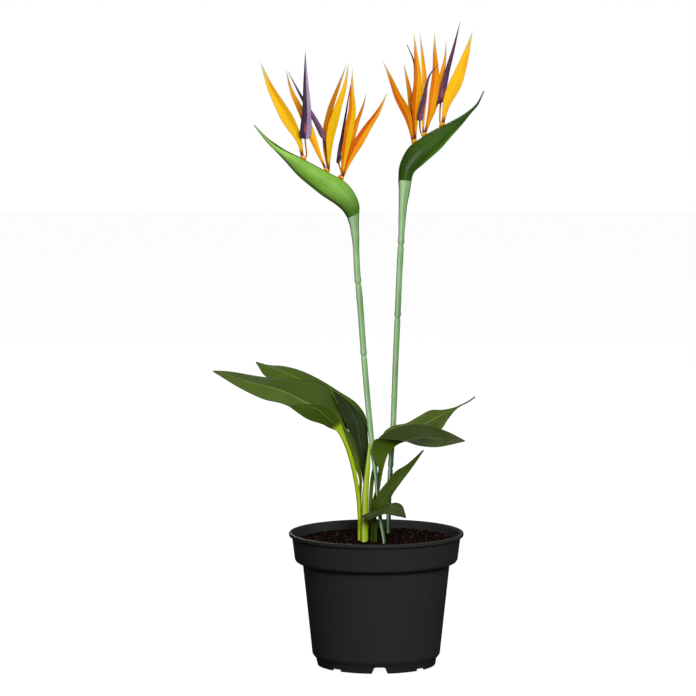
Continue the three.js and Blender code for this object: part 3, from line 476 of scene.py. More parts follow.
def end_finish(
    bench: NodeBench, shader: bpy.types.Node, colour: object, height: object, surface: Surface
) -> None:
    """Feeds a finish's colour and relief to its shader.

    Args:
        bench: the finish's bench.
        shader: its Principled BSDF.
        colour: the base colour.
        height: the relief's height, from 0 to 1.
        surface: its gloss and relief.
    """
    bench.feed(shader.inputs["Base Color"], colour)
    bump = bench.node("ShaderNodeBump")
    bump.inputs["Strength"].default_value = surface.bump
    bump.inputs["Distance"].default_value = surface.bump_depth * MM
    bench.feed(bump.inputs["Height"], height)
    bench.feed(shader.inputs["Normal"], bump.outputs[0])


@dataclass(frozen=True)
class LeafFinish:
    """The finish of a leaf: blade, veins, midrib, margin, underside and stalk, with painted light and shade
    on the blade's far half.
    """

    name: str
    deep: Colour
    light: Colour
    far_half_shading: Colour
    under: Colour
    rib: Colour
    margin: Colour
    stalk: Colour
    stalk_foot: Colour
    under_far_shading: Colour | None = None
    blade_from: Span = (0.36, 0.46)
    veins: float = 11.0
    lean: float = 1.5
    contrast: float = 2.2
    half_blend: float = 0.12
    far_half_shading_share: float = 0.8
    under_share: float = 0.75
    furrow_from: float = 0.35
    furrow_share: float = 0.3
    line_share: float = 0.14
    rib_reach: float = 0.075
    rib_taper: float = 0.05
    rib_blend: float = 0.03
    rib_share: float = 0.6
    margin_band: Span = (0.955, 0.99)
    margin_share: float = 0.8
    foot_band: Span = (0.05, 0.45)
    groove_count: float = 21.0
    groove_band: Span = (0.2, 1.0)
    groove_share: float = 0.35
    grain_share: float = 0.16
    grain_relief: float = 0.25
    surface: Surface = Surface(roughness=0.5, specular=0.12, bump=0.4)

    def build(self, effects: SharedEffects) -> bpy.types.Material:
        """Builds the material.

        Args:
            effects: the shared effects.

        Returns:
            The material.
        """
        material, bench, shader = start_finish(self.name, self.surface)
        place = bench.group(effects.place).outputs
        veins = bench.group(
            effects.veins,
            Across=place["Across"], Along=place["Along"], Count=self.veins, Lean=self.lean,
        ).outputs
        mottle = bench.group(effects.mottle, Contrast=self.contrast).outputs
        blade = self._blade(bench, place, veins, mottle["Patches"])
        stalk = self._stalk(bench, place)
        colour = bench.mix(bench.band(place["Along"], *self.blade_from), stalk, blade)
        colour = bench.tint(colour, mottle["Grain"], self.grain_share, self.deep)
        height = bench.maths("MULTIPLY_ADD", mottle["Grain"], self.grain_relief, veins["Wave"])
        end_finish(bench, shader, colour, height, self.surface)
        return material

    def _blade(
        self, bench: NodeBench, place: Outputs, veins: Outputs, patches: bpy.types.NodeSocket
    ) -> bpy.types.NodeSocket:
        """Colours the blade: both halves, the far one with painted light and shade, underside, veins,
        midrib and margin.

        Args:
            bench: the finish's bench.
            place: where on the blade a point lies.
            veins: the long veins.
            patches: the soft patches.

        Returns:
            The blade's colour.
        """
        blade = bench.mix(patches, paint(self.deep), paint(self.light))
        # Painted light and shade: the far half of the folded blade, on top and beneath, takes its own tone
        # for how that half faces the lamps.
        far = bench.band(place["Across"], self.half_blend, -self.half_blend)
        blade = bench.tint(blade, far, self.far_half_shading_share, self.far_half_shading)
        back = bench.mix(far, paint(self.under), paint(self.under_far_shading or self.under))
        under = bench.mix(self.under_share, bench.mix(patches, back, blade), back)
        blade = bench.mix(place["Under"], blade, under)
        furrows = bench.band(veins["Wave"], self.furrow_from, 0.0)
        blade = bench.tint(blade, furrows, self.furrow_share, self.deep)
        blade = bench.tint(blade, veins["Lines"], self.line_share, self.rib)
        rib_reach = bench.maths("MULTIPLY_ADD", place["Along"], -self.rib_taper, self.rib_reach)
        inside_rib = bench.maths("SUBTRACT", rib_reach, place["Margin"])
        blade = bench.tint(blade, bench.band(inside_rib, 0.0, self.rib_blend), self.rib_share, self.rib)
        on_margin = bench.band(place["Margin"], *self.margin_band)
        return bench.tint(blade, on_margin, self.margin_share, self.margin)

    def _stalk(self, bench: NodeBench, place: Outputs) -> bpy.types.NodeSocket:
        """Colours the stalk, darker along its grooves."""
        up = bench.band(place["Along"], *self.foot_band)
        stalk = bench.mix(up, paint(self.stalk_foot), paint(self.stalk))
        grooves = bench.maths("SINE", bench.maths("MULTIPLY", place["Across"], self.groove_count))
        grooved = bench.mix(self.groove_share, stalk, paint(self.deep))
        return bench.mix(bench.band(grooves, *self.groove_band), stalk, grooved)


class LeafKind(Enum):
    """The finishes that the leaves take."""

    LARGE = LeafFinish(
        "large_leaf", deep=(58, 76, 14), light=(112, 132, 50), far_half_shading=(64, 82, 18), under=(70, 90, 28),
        rib=(150, 172, 100), margin=(26, 38, 8), stalk=(98, 122, 22), stalk_foot=(84, 104, 16),
        under_far_shading=(56, 74, 18), blade_from=(0.34, 0.44),
    )
    DARK = LeafFinish(
        "dark_leaf", deep=(50, 68, 10), light=(112, 132, 50), far_half_shading=(76, 96, 28), under=(48, 66, 14),
        rib=(148, 170, 98), margin=(26, 38, 8), stalk=(124, 150, 26), stalk_foot=(116, 140, 22),
        blade_from=(0.34, 0.44), veins=9.0,
    )
    LANCE = LeafFinish(
        "lance_leaf", deep=(36, 52, 4), light=(76, 94, 26), far_half_shading=(62, 80, 18), under=(40, 56, 10),
        rib=(104, 126, 56), margin=(24, 36, 6), stalk=(48, 66, 4), stalk_foot=(62, 80, 12),
        blade_from=(0.34, 0.44), veins=7.0,
    )
    FRESH = LeafFinish(
        "fresh_leaf", deep=(62, 88, 6), light=(112, 140, 40), far_half_shading=(74, 100, 10), under=(60, 82, 16),
        rib=(150, 172, 76), margin=(44, 66, 8), stalk=(84, 108, 10), stalk_foot=(96, 120, 12),
    )
    SHADED = LeafFinish(
        "shaded_leaf", deep=(30, 40, 18), light=(50, 64, 30), far_half_shading=(36, 48, 22), under=(40, 54, 20),
        rib=(92, 112, 60), margin=(76, 96, 40), stalk=(44, 60, 8), stalk_foot=(62, 78, 12),
    )
    BRIGHT = LeafFinish(
        "bright_leaf", deep=(40, 54, 10), light=(66, 80, 24), far_half_shading=(72, 98, 2), under=(56, 74, 10),
        rib=(120, 148, 40), margin=(132, 160, 40), stalk=(180, 208, 28), stalk_foot=(196, 218, 28),
        blade_from=(0.38, 0.46),
    )
    GREY = LeafFinish(
        "grey_leaf", deep=(26, 36, 4), light=(74, 86, 38), far_half_shading=(56, 68, 22), under=(80, 104, 16),
        rib=(112, 126, 72), margin=(92, 106, 62), stalk=(92, 120, 14), stalk_foot=(104, 126, 14),
    )
    BENT = LeafFinish(
        "bent_leaf", deep=(36, 46, 12), light=(68, 80, 36), far_half_shading=(60, 72, 30), under=(50, 62, 20),
        rib=(104, 118, 68), margin=(30, 40, 10), stalk=(92, 120, 14), stalk_foot=(104, 126, 14),
        blade_from=(0.0, 0.02),
    )


@dataclass(frozen=True)
class PetalFinish:
    """The finish of a petal: three tones that lean to one half as painted light and shade, a rim, a fold
    line that on the sepals is a painted highlight, a coloured root and a faded tip.
    """

    name: str
    bright: Colour
    middle: Colour
    deep: Colour
    root: Colour
    tip: Colour
    tip_from: float
    rim: Colour
    fold: Colour
    blush: Colour | None = None
    fold_share: float = 0.4
    fold_band: Span = (0.1, 0.03)
    root_reach: Span = (0.1, 0.02)
    blush_span: Span = (0.24, 0.38)
    blush_blend: Span = (0.03, 0.08)
    blush_reach: Span = (0.5, 0.1)
    blush_share: float = 0.5
    veins: float = 5.0
    streak: float = 0.25
    contrast: float = 1.6
    side_blend: float = 0.3
    patch_play: float = 0.36
    middle_at: float = 0.5
    rim_band: Span = (0.88, 0.99)
    rim_share: float = 0.75
    grain_relief: float = 0.3
    surface: Surface = Surface(roughness=0.55, specular=0.1, bump=0.4)

    def build(self, effects: SharedEffects) -> bpy.types.Material:
        """Builds the material.

        Args:
            effects: the shared effects.

        Returns:
            The material.
        """
        material, bench, shader = start_finish(self.name, self.surface)
        place = bench.group(effects.place).outputs
        veins = bench.group(
            effects.veins,
            Across=place["Across"], Along=place["Along"], Count=self.veins, Lean=0.0,
        ).outputs
        mottle = bench.group(effects.mottle, Contrast=self.contrast).outputs
        tone = self._tone(bench, place["Across"], mottle["Patches"])
        colour = bench.mix(bench.band(tone, 0.0, self.middle_at), paint(self.bright), paint(self.middle))
        colour = bench.mix(bench.band(tone, self.middle_at, 1.0), colour, paint(self.deep))
        colour = bench.tint(colour, veins["Lines"], self.streak, self.deep)
        on_rim = bench.band(place["Margin"], *self.rim_band)
        colour = bench.tint(colour, on_rim, self.rim_share, self.rim)
        # On the sepals the line along the fold is a painted highlight.
        on_fold = bench.band(place["Margin"], *self.fold_band)
        colour = bench.tint(colour, on_fold, self.fold_share, self.fold)
        if self.blush:
            low, high = self.blush_span
            rise, fall = self.blush_blend
            above = bench.band(place["Along"], low, low + rise)
            below = bench.band(place["Along"], high, high - fall)
            within = bench.maths("MULTIPLY", above, below)
            within = bench.maths("MULTIPLY", within, bench.band(place["Margin"], *self.blush_reach))
            colour = bench.tint(colour, within, self.blush_share, self.blush)
        colour = bench.mix(bench.band(place["Along"], *self.root_reach), colour, paint(self.root))
        faded = bench.band(place["Along"], self.tip_from, 1.0)
        colour = bench.mix(faded, colour, paint(self.tip))
        height = bench.maths("MULTIPLY_ADD", mottle["Grain"], self.grain_relief, veins["Wave"])
        end_finish(bench, shader, colour, height, self.surface)
        return material

    def _tone(
        self, bench: NodeBench, across: bpy.types.NodeSocket, patches: bpy.types.NodeSocket
    ) -> bpy.types.NodeSocket:
        """Works out how deep the colour is, from 0 to 1.

        Args:
            bench: the finish's bench.
            across: the place across the petal.
            patches: the soft patches.

        Returns:
            The depth: the petal's tone, partly its own colour and partly painted light, leaning to one half
                as painted light and shade, with patches.
        """
        side = bench.band(across, -self.side_blend, self.side_blend)
        side = bench.maths("MULTIPLY_ADD", side, -2.0, 1.0)
        # Painted light and shade: the lean pushes one half's tone up and the other's down, as if one half
        # faced the lamps.
        lean = bench.maths("MULTIPLY", side, bench.map_value("tone", "Y"))
        tone = bench.maths("ADD", bench.map_value("tone", "X"), lean)
        play = bench.maths("MULTIPLY_ADD", patches, self.patch_play, -self.patch_play / 2)
        return bench.maths("ADD", tone, play, clamp=True)


class PetalKind(Enum):
    """The finishes that the petals take."""

    # The sepals' pale line along the fold is a painted highlight.
    SEPAL = PetalFinish(
        "orange_sepal", bright=(248, 196, 14), middle=(238, 148, 2), deep=(204, 92, 0),
        root=(112, 40, 12), tip=(198, 194, 136), tip_from=0.76, rim=(176, 96, 0), fold=(252, 206, 60),
    )
    # On the arrows the lavender half is a painted sheen over their dark purple.
    ARROW = PetalFinish(
        "purple_arrow", bright=(30, 6, 22), middle=(98, 46, 84), deep=(184, 162, 200),
        root=(206, 108, 24), root_reach=(0.2, 0.12), tip=(52, 40, 56), tip_from=0.84,
        rim=(28, 6, 22), streak=0.3, fold=(58, 20, 50), blush=(206, 104, 108),
    )


@dataclass(frozen=True)
class SkinFinish:
    """The finish of a stem, a spathe or the spear: long streaks, soft patches, freckles, a darker edge that
    on the stems and the spear is painted shade, and a light strip that is a painted highlight.
    """

    name: str
    light: Colour
    deep: Colour
    streak: Colour
    streak_count: float
    edge: Colour
    edge_from: float
    edge_blend: float = 0.03
    edge_share: float = 0.85
    both_sides: bool = False
    foot: Colour | None = None
    foot_reach: Span = (0.12, 0.0)
    keel: Colour | None = None
    keel_reach: float = 0.22
    keel_share: float = 0.8
    # shine is a painted highlight: a light strip down one side of the skin.
    shine: Colour | None = None
    shine_at: float = 0.68
    shine_band: Span = (0.1, 0.02)
    shine_share: float = 0.6
    streak_share: float = 0.35
    contrast: float = 2.0
    freckle_band: Span = (0.62, 0.7)
    freckle_share: float = 0.4
    grain_relief: float = 0.4
    surface: Surface = Surface(roughness=0.45, specular=0.18, bump=0.35)

    def build(self, effects: SharedEffects) -> bpy.types.Material:
        """Builds the material.

        Args:
            effects: the shared effects.

        Returns:
            The material.
        """
        material, bench, shader = start_finish(self.name, self.surface)
        around = bench.map_value("place", "X")
        along = bench.map_value("place", "Y")
        mottle = bench.group(effects.mottle, Contrast=self.contrast).outputs
        keel = bench.maths("ABSOLUTE", bench.maths("MULTIPLY_ADD", around, 2.0, -1.0))
        colour = bench.mix(mottle["Patches"], paint(self.light), paint(self.deep))
        veins = bench.group(
            effects.veins, Across=keel, Along=along, Count=self.streak_count, Lean=0.0
        ).outputs
        colour = bench.tint(colour, veins["Lines"], self.streak_share, self.streak)
        freckles = bench.band(mottle["Grain"], *self.freckle_band)
        colour = bench.tint(colour, freckles, self.freckle_share, self.deep)
        # On the stems and the spear the darker edge is painted shade, on the sides that turn away from the
        # lamps.
        reach = keel
        if self.both_sides:
            turn = bench.maths("MULTIPLY", around, 2 * math.pi)
            reach = bench.maths("ABSOLUTE", bench.maths("COSINE", turn))
        on_edge = bench.band(reach, self.edge_from, self.edge_from + self.edge_blend)
        colour = bench.tint(colour, on_edge, self.edge_share, self.edge)
        if self.keel:
            near_keel = bench.band(keel, self.keel_reach, 0.0)
            colour = bench.tint(colour, near_keel, self.keel_share, self.keel)
        if self.foot:
            colour = bench.mix(bench.band(along, *self.foot_reach), colour, paint(self.foot))
        # A painted highlight: a light strip at one place round the skin.
        if self.shine:
            off = bench.maths("ABSOLUTE", bench.maths("SUBTRACT", around, self.shine_at))
            strip = bench.band(off, *self.shine_band)
            colour = bench.tint(colour, strip, self.shine_share, self.shine)
        height = bench.maths("MULTIPLY_ADD", mottle["Grain"], self.grain_relief, veins["Wave"])
        end_finish(bench, shader, colour, height, self.surface)
        return material


class SkinKind(Enum):
    """The finishes that the stems, the spathes and the spear take."""

    # The stems' darker left and right sides are painted shade, and their shine strip is a painted
    # highlight.
    STEM = SkinFinish(
        "grey_green_stem", light=(158, 200, 136), deep=(106, 152, 88), streak=(60, 104, 52),
        edge=(40, 90, 44), edge_from=0.8, edge_blend=0.18, both_sides=True, foot=(44, 76, 38),
        foot_reach=(0.38, 0.24), shine=(200, 226, 188), streak_count=4.0,
    )
    LEFT_SPATHE = SkinFinish(
        "bright_spathe", light=(156, 206, 92), deep=(106, 158, 44), streak=(84, 136, 34),
        edge=(44, 60, 12), edge_from=0.8, foot=(76, 118, 34), foot_reach=(0.42, 0.05),
        keel=(88, 138, 30), streak_count=9.0, streak_share=0.3,
    )
    RIGHT_SPATHE = SkinFinish(
        "dark_spathe", light=(54, 86, 16), deep=(32, 60, 6), streak=(84, 124, 34),
        edge=(24, 38, 8), edge_from=0.8, keel=(92, 148, 30), streak_count=9.0, streak_share=0.14,
    )
    # The spear's darker right side is painted shade, and its shine strip is a painted highlight.
    SPEAR = SkinFinish(
        "young_leaf", light=(178, 206, 44), deep=(146, 174, 8), streak=(112, 142, 4),
        edge=(96, 126, 6), edge_from=0.84, foot=(196, 200, 108), shine=(206, 226, 110), streak_count=5.0,
    )


@dataclass(frozen=True)
class PotFinish:
    """Black moulded plastic with faint grain, scuffs and a lip with brownish dust that also stands in for a
    painted highlight line.
    """

    name: str = "black_pot_plastic"
    body: Colour = (43, 43, 43)
    scuff: Colour = (60, 60, 60)
    dust_and_sheen: Colour = (54, 46, 42)
    contrast: float = 2.0
    scuff_scale: float = 240.0
    scuff_stretch: Point = (1, 1, 0.08)
    scuff_band: Span = (0.6, 0.75)
    scuff_share: float = 0.3
    scuff_relief: float = 0.5
    lip_height: float = 143.6
    lip_blend: float = 1.2
    dust_and_sheen_scale: float = 300.0
    dust_and_sheen_band: Span = (0.3, 0.7)
    dust_and_sheen_share: float = 0.75
    rough_play: float = 0.16
    surface: Surface = Surface(roughness=0.5, specular=0.03, bump=0.14, bump_depth=0.25)

    def build(self, effects: SharedEffects) -> bpy.types.Material:
        """Builds the material.

        Args:
            effects: the shared effects.

        Returns:
            The material.
        """
        material, bench, shader = start_finish(self.name, self.surface)
        mottle = bench.group(effects.mottle, Contrast=self.contrast).outputs
        scuffs = bench.band(bench.noise(self.scuff_scale, self.scuff_stretch), *self.scuff_band)
        patches = bench.maths("MULTIPLY", mottle["Patches"], self.scuff_share)
        scuffs = bench.maths("MULTIPLY", scuffs, patches)
        colour = bench.mix(scuffs, paint(self.body), paint(self.scuff))
        parts = bench.node("ShaderNodeSeparateXYZ")
        bench.feed(parts.inputs[0], bench.node("ShaderNodeTexCoord").outputs["Object"])
        # On the lip: brownish dust that is also a painted highlight line along the rim.
        lip, above = self.lip_height * MM, (self.lip_height + self.lip_blend) * MM
        on_lip = bench.band(parts.outputs["Z"], lip, above)
        dust_and_sheen = bench.band(bench.noise(self.dust_and_sheen_scale), *self.dust_and_sheen_band)
        colour = bench.tint(colour, bench.maths("MULTIPLY", on_lip, dust_and_sheen), self.dust_and_sheen_share, self.dust_and_sheen)
        relief = bench.maths("MULTIPLY", scuffs, self.scuff_relief)
        end_finish(bench, shader, colour, bench.maths("ADD", mottle["Grain"], relief), self.surface)
        least = self.surface.roughness - self.rough_play / 2
        rough = bench.maths("MULTIPLY_ADD", mottle["Patches"], self.rough_play, least)
        bench.feed(shader.inputs["Roughness"], rough)
        return material


@dataclass(frozen=True)
class CompostFinish:
    """Dark compost whose crumbs differ in colour, with a few pale grains."""

    name: str = "dark_compost"
    dark: Colour = (8, 4, 2)
    brown: Colour = (38, 18, 10)
    grain: Colour = (104, 74, 52)
    cell_scale: float = 620.0
    brown_band: Span = (0.4, 1.0)
    grain_band: Span = (0.955, 0.995)
    contrast: float = 1.5
    patch_share: float = 0.5
    relief_scale: float = 700.0
    surface: Surface = Surface(roughness=0.9, specular=0.02, bump=0.7, bump_depth=0.8)

    def build(self, effects: SharedEffects) -> bpy.types.Material:
        """Builds the material.

        Args:
            effects: the shared effects.

        Returns:
            The material.
        """
        material, bench, shader = start_finish(self.name, self.surface)
        mottle = bench.group(effects.mottle, Contrast=self.contrast).outputs
        cells = bench.node("ShaderNodeTexVoronoi")
        cells.inputs["Scale"].default_value = self.cell_scale
        bench.feed(cells.inputs["Vector"], bench.node("ShaderNodeTexCoord").outputs["Object"])
        parts = bench.node("ShaderNodeSeparateColor")
        bench.feed(parts.inputs[0], cells.outputs["Color"])
        brown = bench.band(parts.outputs[0], *self.brown_band)
        colour = bench.mix(brown, paint(self.dark), paint(self.brown))
        grains = bench.band(parts.outputs[1], *self.grain_band)
        colour = bench.mix(grains, colour, paint(self.grain))
        colour = bench.tint(colour, mottle["Patches"], self.patch_share, self.dark)
        end_finish(bench, shader, colour, bench.noise(self.relief_scale, detail=5.0), self.surface)
        return material


# Pot and compost

@dataclass
class NurseryPot:
    """The black pot: rolled rim, band, tapered wall, foot ring and drain notches.

    A field that ends in edge rounds one corner of the section. It holds distances outwards
    and upwards from that corner.
    """

    height: float = 145
    rim_radius: float = 95
    rim_depth: float = 4
    band_top_radius: float = 91.5
    band_foot: Span = (88.7, 117)
    body_top: Span = (80, 111)
    body_foot: Span = (69.6, 12.5)
    foot_top: Span = (65.8, 7.6)
    foot_radius: float = 64.6
    foot_wall: float = 2.4
    wall: float = 1.8
    hollow: float = 11
    floor_top: float = 13.4
    floor_inset: float = 1
    inside_foot: float = 16
    inside_body_rise: float = 2
    inside_band_rise: float = 1
    centre_foot: float = 18
    centre_draft: float = 1
    sharp_edge: Edge = ((0, 0),)
    centre_edge: Edge = ((-0.5, 0), (0, 0.5))
    foot_inner_edge: Edge = ((0, 0.4), (0.5, 0))
    foot_outer_edge: Edge = ((-0.4, 0), (0, 0.5))
    ledge_edge: Edge = ((-0.1, -0.3), (0.3, 0.3))
    body_foot_edge: Edge = ((-0.7, -1.2), (0, 0.4), (0.2, 2.5))
    body_top_edge: Edge = ((0, 0), (0.6, 0.5))
    step_edge: Edge = ((-3, 1.8), (-1.2, 3))
    band_foot_edge: Edge = ((-0.2, -1.2), (0.1, 0.6))
    band_top_edge: Edge = ((-0.1, -3), (0.4, -1.2))
    rim_foot_edge: Edge = ((-1.2, -0.2), (-0.3, 0.3), (0, 1.4))
    rim_top_edge: Edge = ((0, -1.2), (-0.4, -0.35), (-1.2, 0), (-2.5, 0), (-3.3, -0.5))
    weld: float = 1e-3
    steps: int = 160
    pads: int = 4
    pad_turn: float = 3
    pad_gap_angle: float = 10.8
    pad_gap_height: float = 2.3
    notch: Point = (13, 18, 7)
    notch_below: float = 1
    crown: float = 2
    crown_cut: float = 0.6
    cut_depth: float = 14
    drain_holes: int = 8
    drain_radius: float = 5
    drain_circle: float = 44
    drain_rise: float = 1
    drain_sides: int = 32

    def profile(self) -> list[Span]:
        """Returns the pot's section as radius and height, from the underside round to the floor."""
        band_r, band_z = self.band_foot
        body_r, body_z = self.body_top
        low_r, low_z = self.body_foot
        foot_r, foot_z = self.foot_top
        lip = self.height - self.rim_depth
        corners = [
            (self.centre_foot, 0, self.centre_edge),
            (self.centre_foot + self.centre_draft, self.hollow, self.sharp_edge),
            (foot_r - self.foot_wall, self.hollow, self.sharp_edge),
            (self.foot_radius - self.foot_wall, 0, self.foot_inner_edge),
            (self.foot_radius, 0, self.foot_outer_edge),
            (foot_r, foot_z, self.ledge_edge),
            (low_r, low_z, self.body_foot_edge),
            (body_r, body_z, self.body_top_edge),
            (band_r, body_z, self.step_edge),
            (band_r, band_z, self.band_foot_edge),
            (self.band_top_radius, lip, self.band_top_edge),
            (self.rim_radius, lip, self.rim_foot_edge),
            (self.rim_radius, self.height, self.rim_top_edge),
        ]
        outside = [(r + out, z + up) for r, z, edge in corners for out, up in edge]
        inside = [
            (self.band_top_radius - self.wall, lip),
            (band_r - self.wall, band_z + self.inside_band_rise),
            (body_r - self.wall, body_z + self.inside_body_rise),
            (low_r - self.wall, self.inside_foot),
            (foot_r - self.floor_inset, self.floor_top),
            (0, self.floor_top),
        ]
        return [(0, 0), *outside, *inside]

    def shell(self) -> bmesh.types.BMesh:
        """Spins the section into the closed wall, floor and foot."""
        bm = new_mesh()
        verts = [bm.verts.new((r, 0, z)) for r, z in self.profile()]
        edges = [bm.edges.new(pair) for pair in zip(verts, verts[1:])]
        bmesh.ops.spin(
            bm, geom=[*verts, *edges], cent=(0, 0, 0), axis=(0, 0, 1),
            angle=2 * math.pi, steps=self.steps, use_merge=True,
        )
        bmesh.ops.remove_doubles(bm, verts=bm.verts, dist=self.weld)
        return bm

    def cutters(self) -> bmesh.types.BMesh:
        """Makes the drain notches, the gaps between the foot pads and the drain holes."""
        bm = bmesh.new()
        turn = math.radians(self.pad_turn)
        width, flare, high = self.notch
        half, shoulder = width / 2, high - self.crown
        right = [
            (flare / 2, -self.notch_below), (half, shoulder),
            (half - self.crown_cut, high - self.crown_cut), (half - self.crown, high),
        ]
        left = [(-x, z) for x, z in reversed(right)]
        arch = [left[-1], *right, *left[:-1]]
        start = self.foot_wall - self.foot_radius + self.cut_depth
        gap_width = 2 * self.foot_radius * math.sin(math.radians(self.pad_gap_angle / 2))
        for k in range(self.pads):
            angle = turn + k * 2 * math.pi / self.pads
            face = bm.faces.new([bm.verts.new((x, start, z)) for x, z in arch])
            block = bmesh.ops.extrude_face_region(bm, geom=[face])["geom"]
            moved = [part for part in block if isinstance(part, bmesh.types.BMVert)]
            bmesh.ops.translate(bm, vec=(0, -2 * self.cut_depth, 0), verts=moved)
            bmesh.ops.rotate(
                bm, cent=(0, 0, 0), matrix=Matrix.Rotation(angle, 3, "Z"), verts=[*moved, *face.verts]
            )
            size = Matrix.Diagonal((gap_width, self.cut_depth, 2 * self.pad_gap_height, 1))
            turned = Matrix.Rotation(angle + math.pi / self.pads, 4, "Z")
            place = turned @ Matrix.Translation((0, -self.foot_radius, 0))
            bmesh.ops.create_cube(bm, size=1, matrix=place @ size)
        for k in range(self.drain_holes):
            angle = turn + (k + 0.5) * 2 * math.pi / self.drain_holes
            hole = Matrix.Translation((0, -self.drain_circle, self.hollow + self.drain_rise))
            place = Matrix.Rotation(angle, 4, "Z") @ hole
            bmesh.ops.create_cone(
                bm, cap_ends=True, segments=self.drain_sides, radius1=self.drain_radius,
                radius2=self.drain_radius, depth=self.cut_depth, matrix=place,
            )
        return bm

    def build(self, finish: bpy.types.Material) -> None:
        """Builds the pot and cuts its foot."""
        holders = []
        for name, bm in (("pot_shell", self.shell()), ("pot_cutters", self.cutters())):
            bmesh.ops.recalc_face_normals(bm, faces=bm.faces)
            holders.append(place_mesh(name, bm))
        shell, cutter = holders
        cut = shell.modifiers.new("cut", "BOOLEAN")
        cut.object = cutter
        cut.solver = "EXACT"
        bpy.context.view_layer.update()
        depsgraph = bpy.context.evaluated_depsgraph_get()
        result = new_mesh()
        result.from_mesh(shell.evaluated_get(depsgraph).to_mesh())
        for holder in holders:
            bpy.data.objects.remove(holder)
        finish_piece("nursery_pot", result, finish, ["pot"], crease=30)


@dataclass
class Compost:
    """The compost that fills the pot, with loose crumbs on its top."""

    level: float = 135
    heap: float = 5
    heap_at: Span = (24, 42)
    heap_spread: float = 30
    radius: float = 88.2
    rim_inset: float = 1.5
    shoulder: float = 122
    waist: Span = (77.3, 114)
    heel: Span = (67.0, 16)
    foot_radius: float = 64.4
    floor: float = 13.7
    sides: int = 160
    top_rings: int = 64
    lumps: float = 1.3
    lump_scale: float = 0.16
    lump_layer: float = 3
    lump_fractal: tuple[float, float, int] = (1.0, 2.0, 4)
    crumb_count: int = 5200
    crumb_sizes: Span = (0.35, 1.5)
    crumb_skew: int = 3
    crumb_turn: float = 6.28
    crumb_widths: Span = (0.6, 1)
    crumb_depths: Span = (0.45, 0.9)
    crumb_rise: float = 0.3
    crease: float = 60
    seed: int = 7

    def top(self, x: float, y: float) -> float:
        """Returns the height of the compost's top at a place."""
        hx, hy = self.heap_at
        heap = self.heap * math.exp(-((x - hx) ** 2 + (y - hy) ** 2) / self.heap_spread**2)
        place = Vector((x, y, self.lump_layer)) * self.lump_scale
        return self.level + heap + self.lumps * noise.fractal(place, *self.lump_fractal)

    def level_ring(self, radius: float, height: float) -> Ring:
        """Returns a level ring round the pot's axis."""
        centre = Vector((0, 0, height))
        return round_ring(centre, Vector((1, 0, 0)), Vector((0, 1, 0)), [radius] * self.sides)

    def build_body(self, finish: bpy.types.Material) -> None:
        """Builds the body, with its lumpy top."""
        rings = []
        for n in range(1, self.top_rings + 1):
            ring = self.level_ring(self.radius * n / self.top_rings, 0)
            rings.append([Vector((p.x, p.y, self.top(p.x, p.y))) for p in ring])
        upper = (self.radius - self.rim_inset, self.shoulder)
        for radius, height in (upper, self.waist, self.heel, (self.foot_radius, self.floor)):
            rings.append(self.level_ring(radius, height))
        bm = new_mesh()
        roll_skin(bm, rings)
        finish_piece("compost_body", bm, finish, ["soil"], self.crease)

    def build_crumbs(self, finish: bpy.types.Material, stems: Sequence[Point]) -> None:
        """Builds the loose crumbs.

        Args:
            finish: the compost's material.
            stems: the place and radius of each stem that the crumbs keep clear of.
        """
        dice = random.Random(self.seed)
        bm = new_mesh()
        for _ in range(self.crumb_count):
            reach = (self.radius - self.rim_inset) * math.sqrt(dice.random())
            angle = dice.uniform(0, 2 * math.pi)
            x, y = reach * math.cos(angle), reach * math.sin(angle)
            size = blend(*self.crumb_sizes, dice.random() ** self.crumb_skew)
            around = dice.uniform(0, self.crumb_turn)
            turn = Matrix.Rotation(around, 4, Vector((dice.random(), dice.random(), 1)))
            wide, deep = dice.uniform(*self.crumb_widths), dice.uniform(*self.crumb_depths)
            shape = Matrix.Diagonal((size, size * wide, size * deep, 1))
            if all(math.hypot(x - sx, y - sy) > radius + size for sx, sy, radius in stems):
                place = Matrix.Translation((x, y, self.top(x, y) + size * self.crumb_rise))
                bmesh.ops.create_icosphere(bm, subdivisions=1, radius=1, matrix=place @ turn @ shape)
        finish_piece("compost_crumbs", bm, finish, crease=self.crease)


# Flower stems and spathes

class Side(Enum):
    """The two flowers, as the front view has them."""

    LEFT = "left"
    RIGHT = "right"


SPATHE_ROWS: dict[Side, list[tuple[Point, Point, float]]] = {
    Side.LEFT: [
        ((-18.5, 0, 494.5), (-32, 0, 488), 6.9),
        ((-18.5, -1, 501.5), (-36.5, -1, 495), 7.8),
        ((-23.5, -1, 514), (-44.5, -1, 502), 8.6),
        ((-34, -2, 526.5), (-58, -2, 511), 9),
        ((-46, -3, 533.5), (-70, -3, 520.5), 8.6),
        ((-63, -5, 542.5), (-85, -5, 533.5), 7.6),
        ((-82.5, -8, 553), (-99.5, -8, 550), 6.2),
        ((-99.5, -11, 561.5), (-112.5, -11, 564), 4.6),
        ((-114.5, -15, 572), (-121.5, -15, 574.5), 2.8),
        ((-131, -19, 589), (-132, -19, 588.4), 0.7),
    ],
    Side.RIGHT: [
        ((23.5, 10, 527), (38, 10, 526.5), 7.1),
        ((24.5, 12, 540.5), (40.5, 12, 535), 8),
        ((28, 15, 551), (49.5, 15, 543), 8.6),
        ((34.5, 19, 561.5), (59, 19, 551), 8.8),
        ((46, 25, 570), (70, 25, 560.5), 8.2),
        ((61.5, 33, 579), (82, 33, 573.5), 7),
        ((80.5, 42, 588), (93, 42, 585), 5),
        ((98, 50, 598), (103, 50, 597), 3),
        ((109, 55, 607.5), (111, 55, 606), 1.6),
        ((116.8, 60, 621), (117.8, 60, 620.6), 0.7),
    ],
}


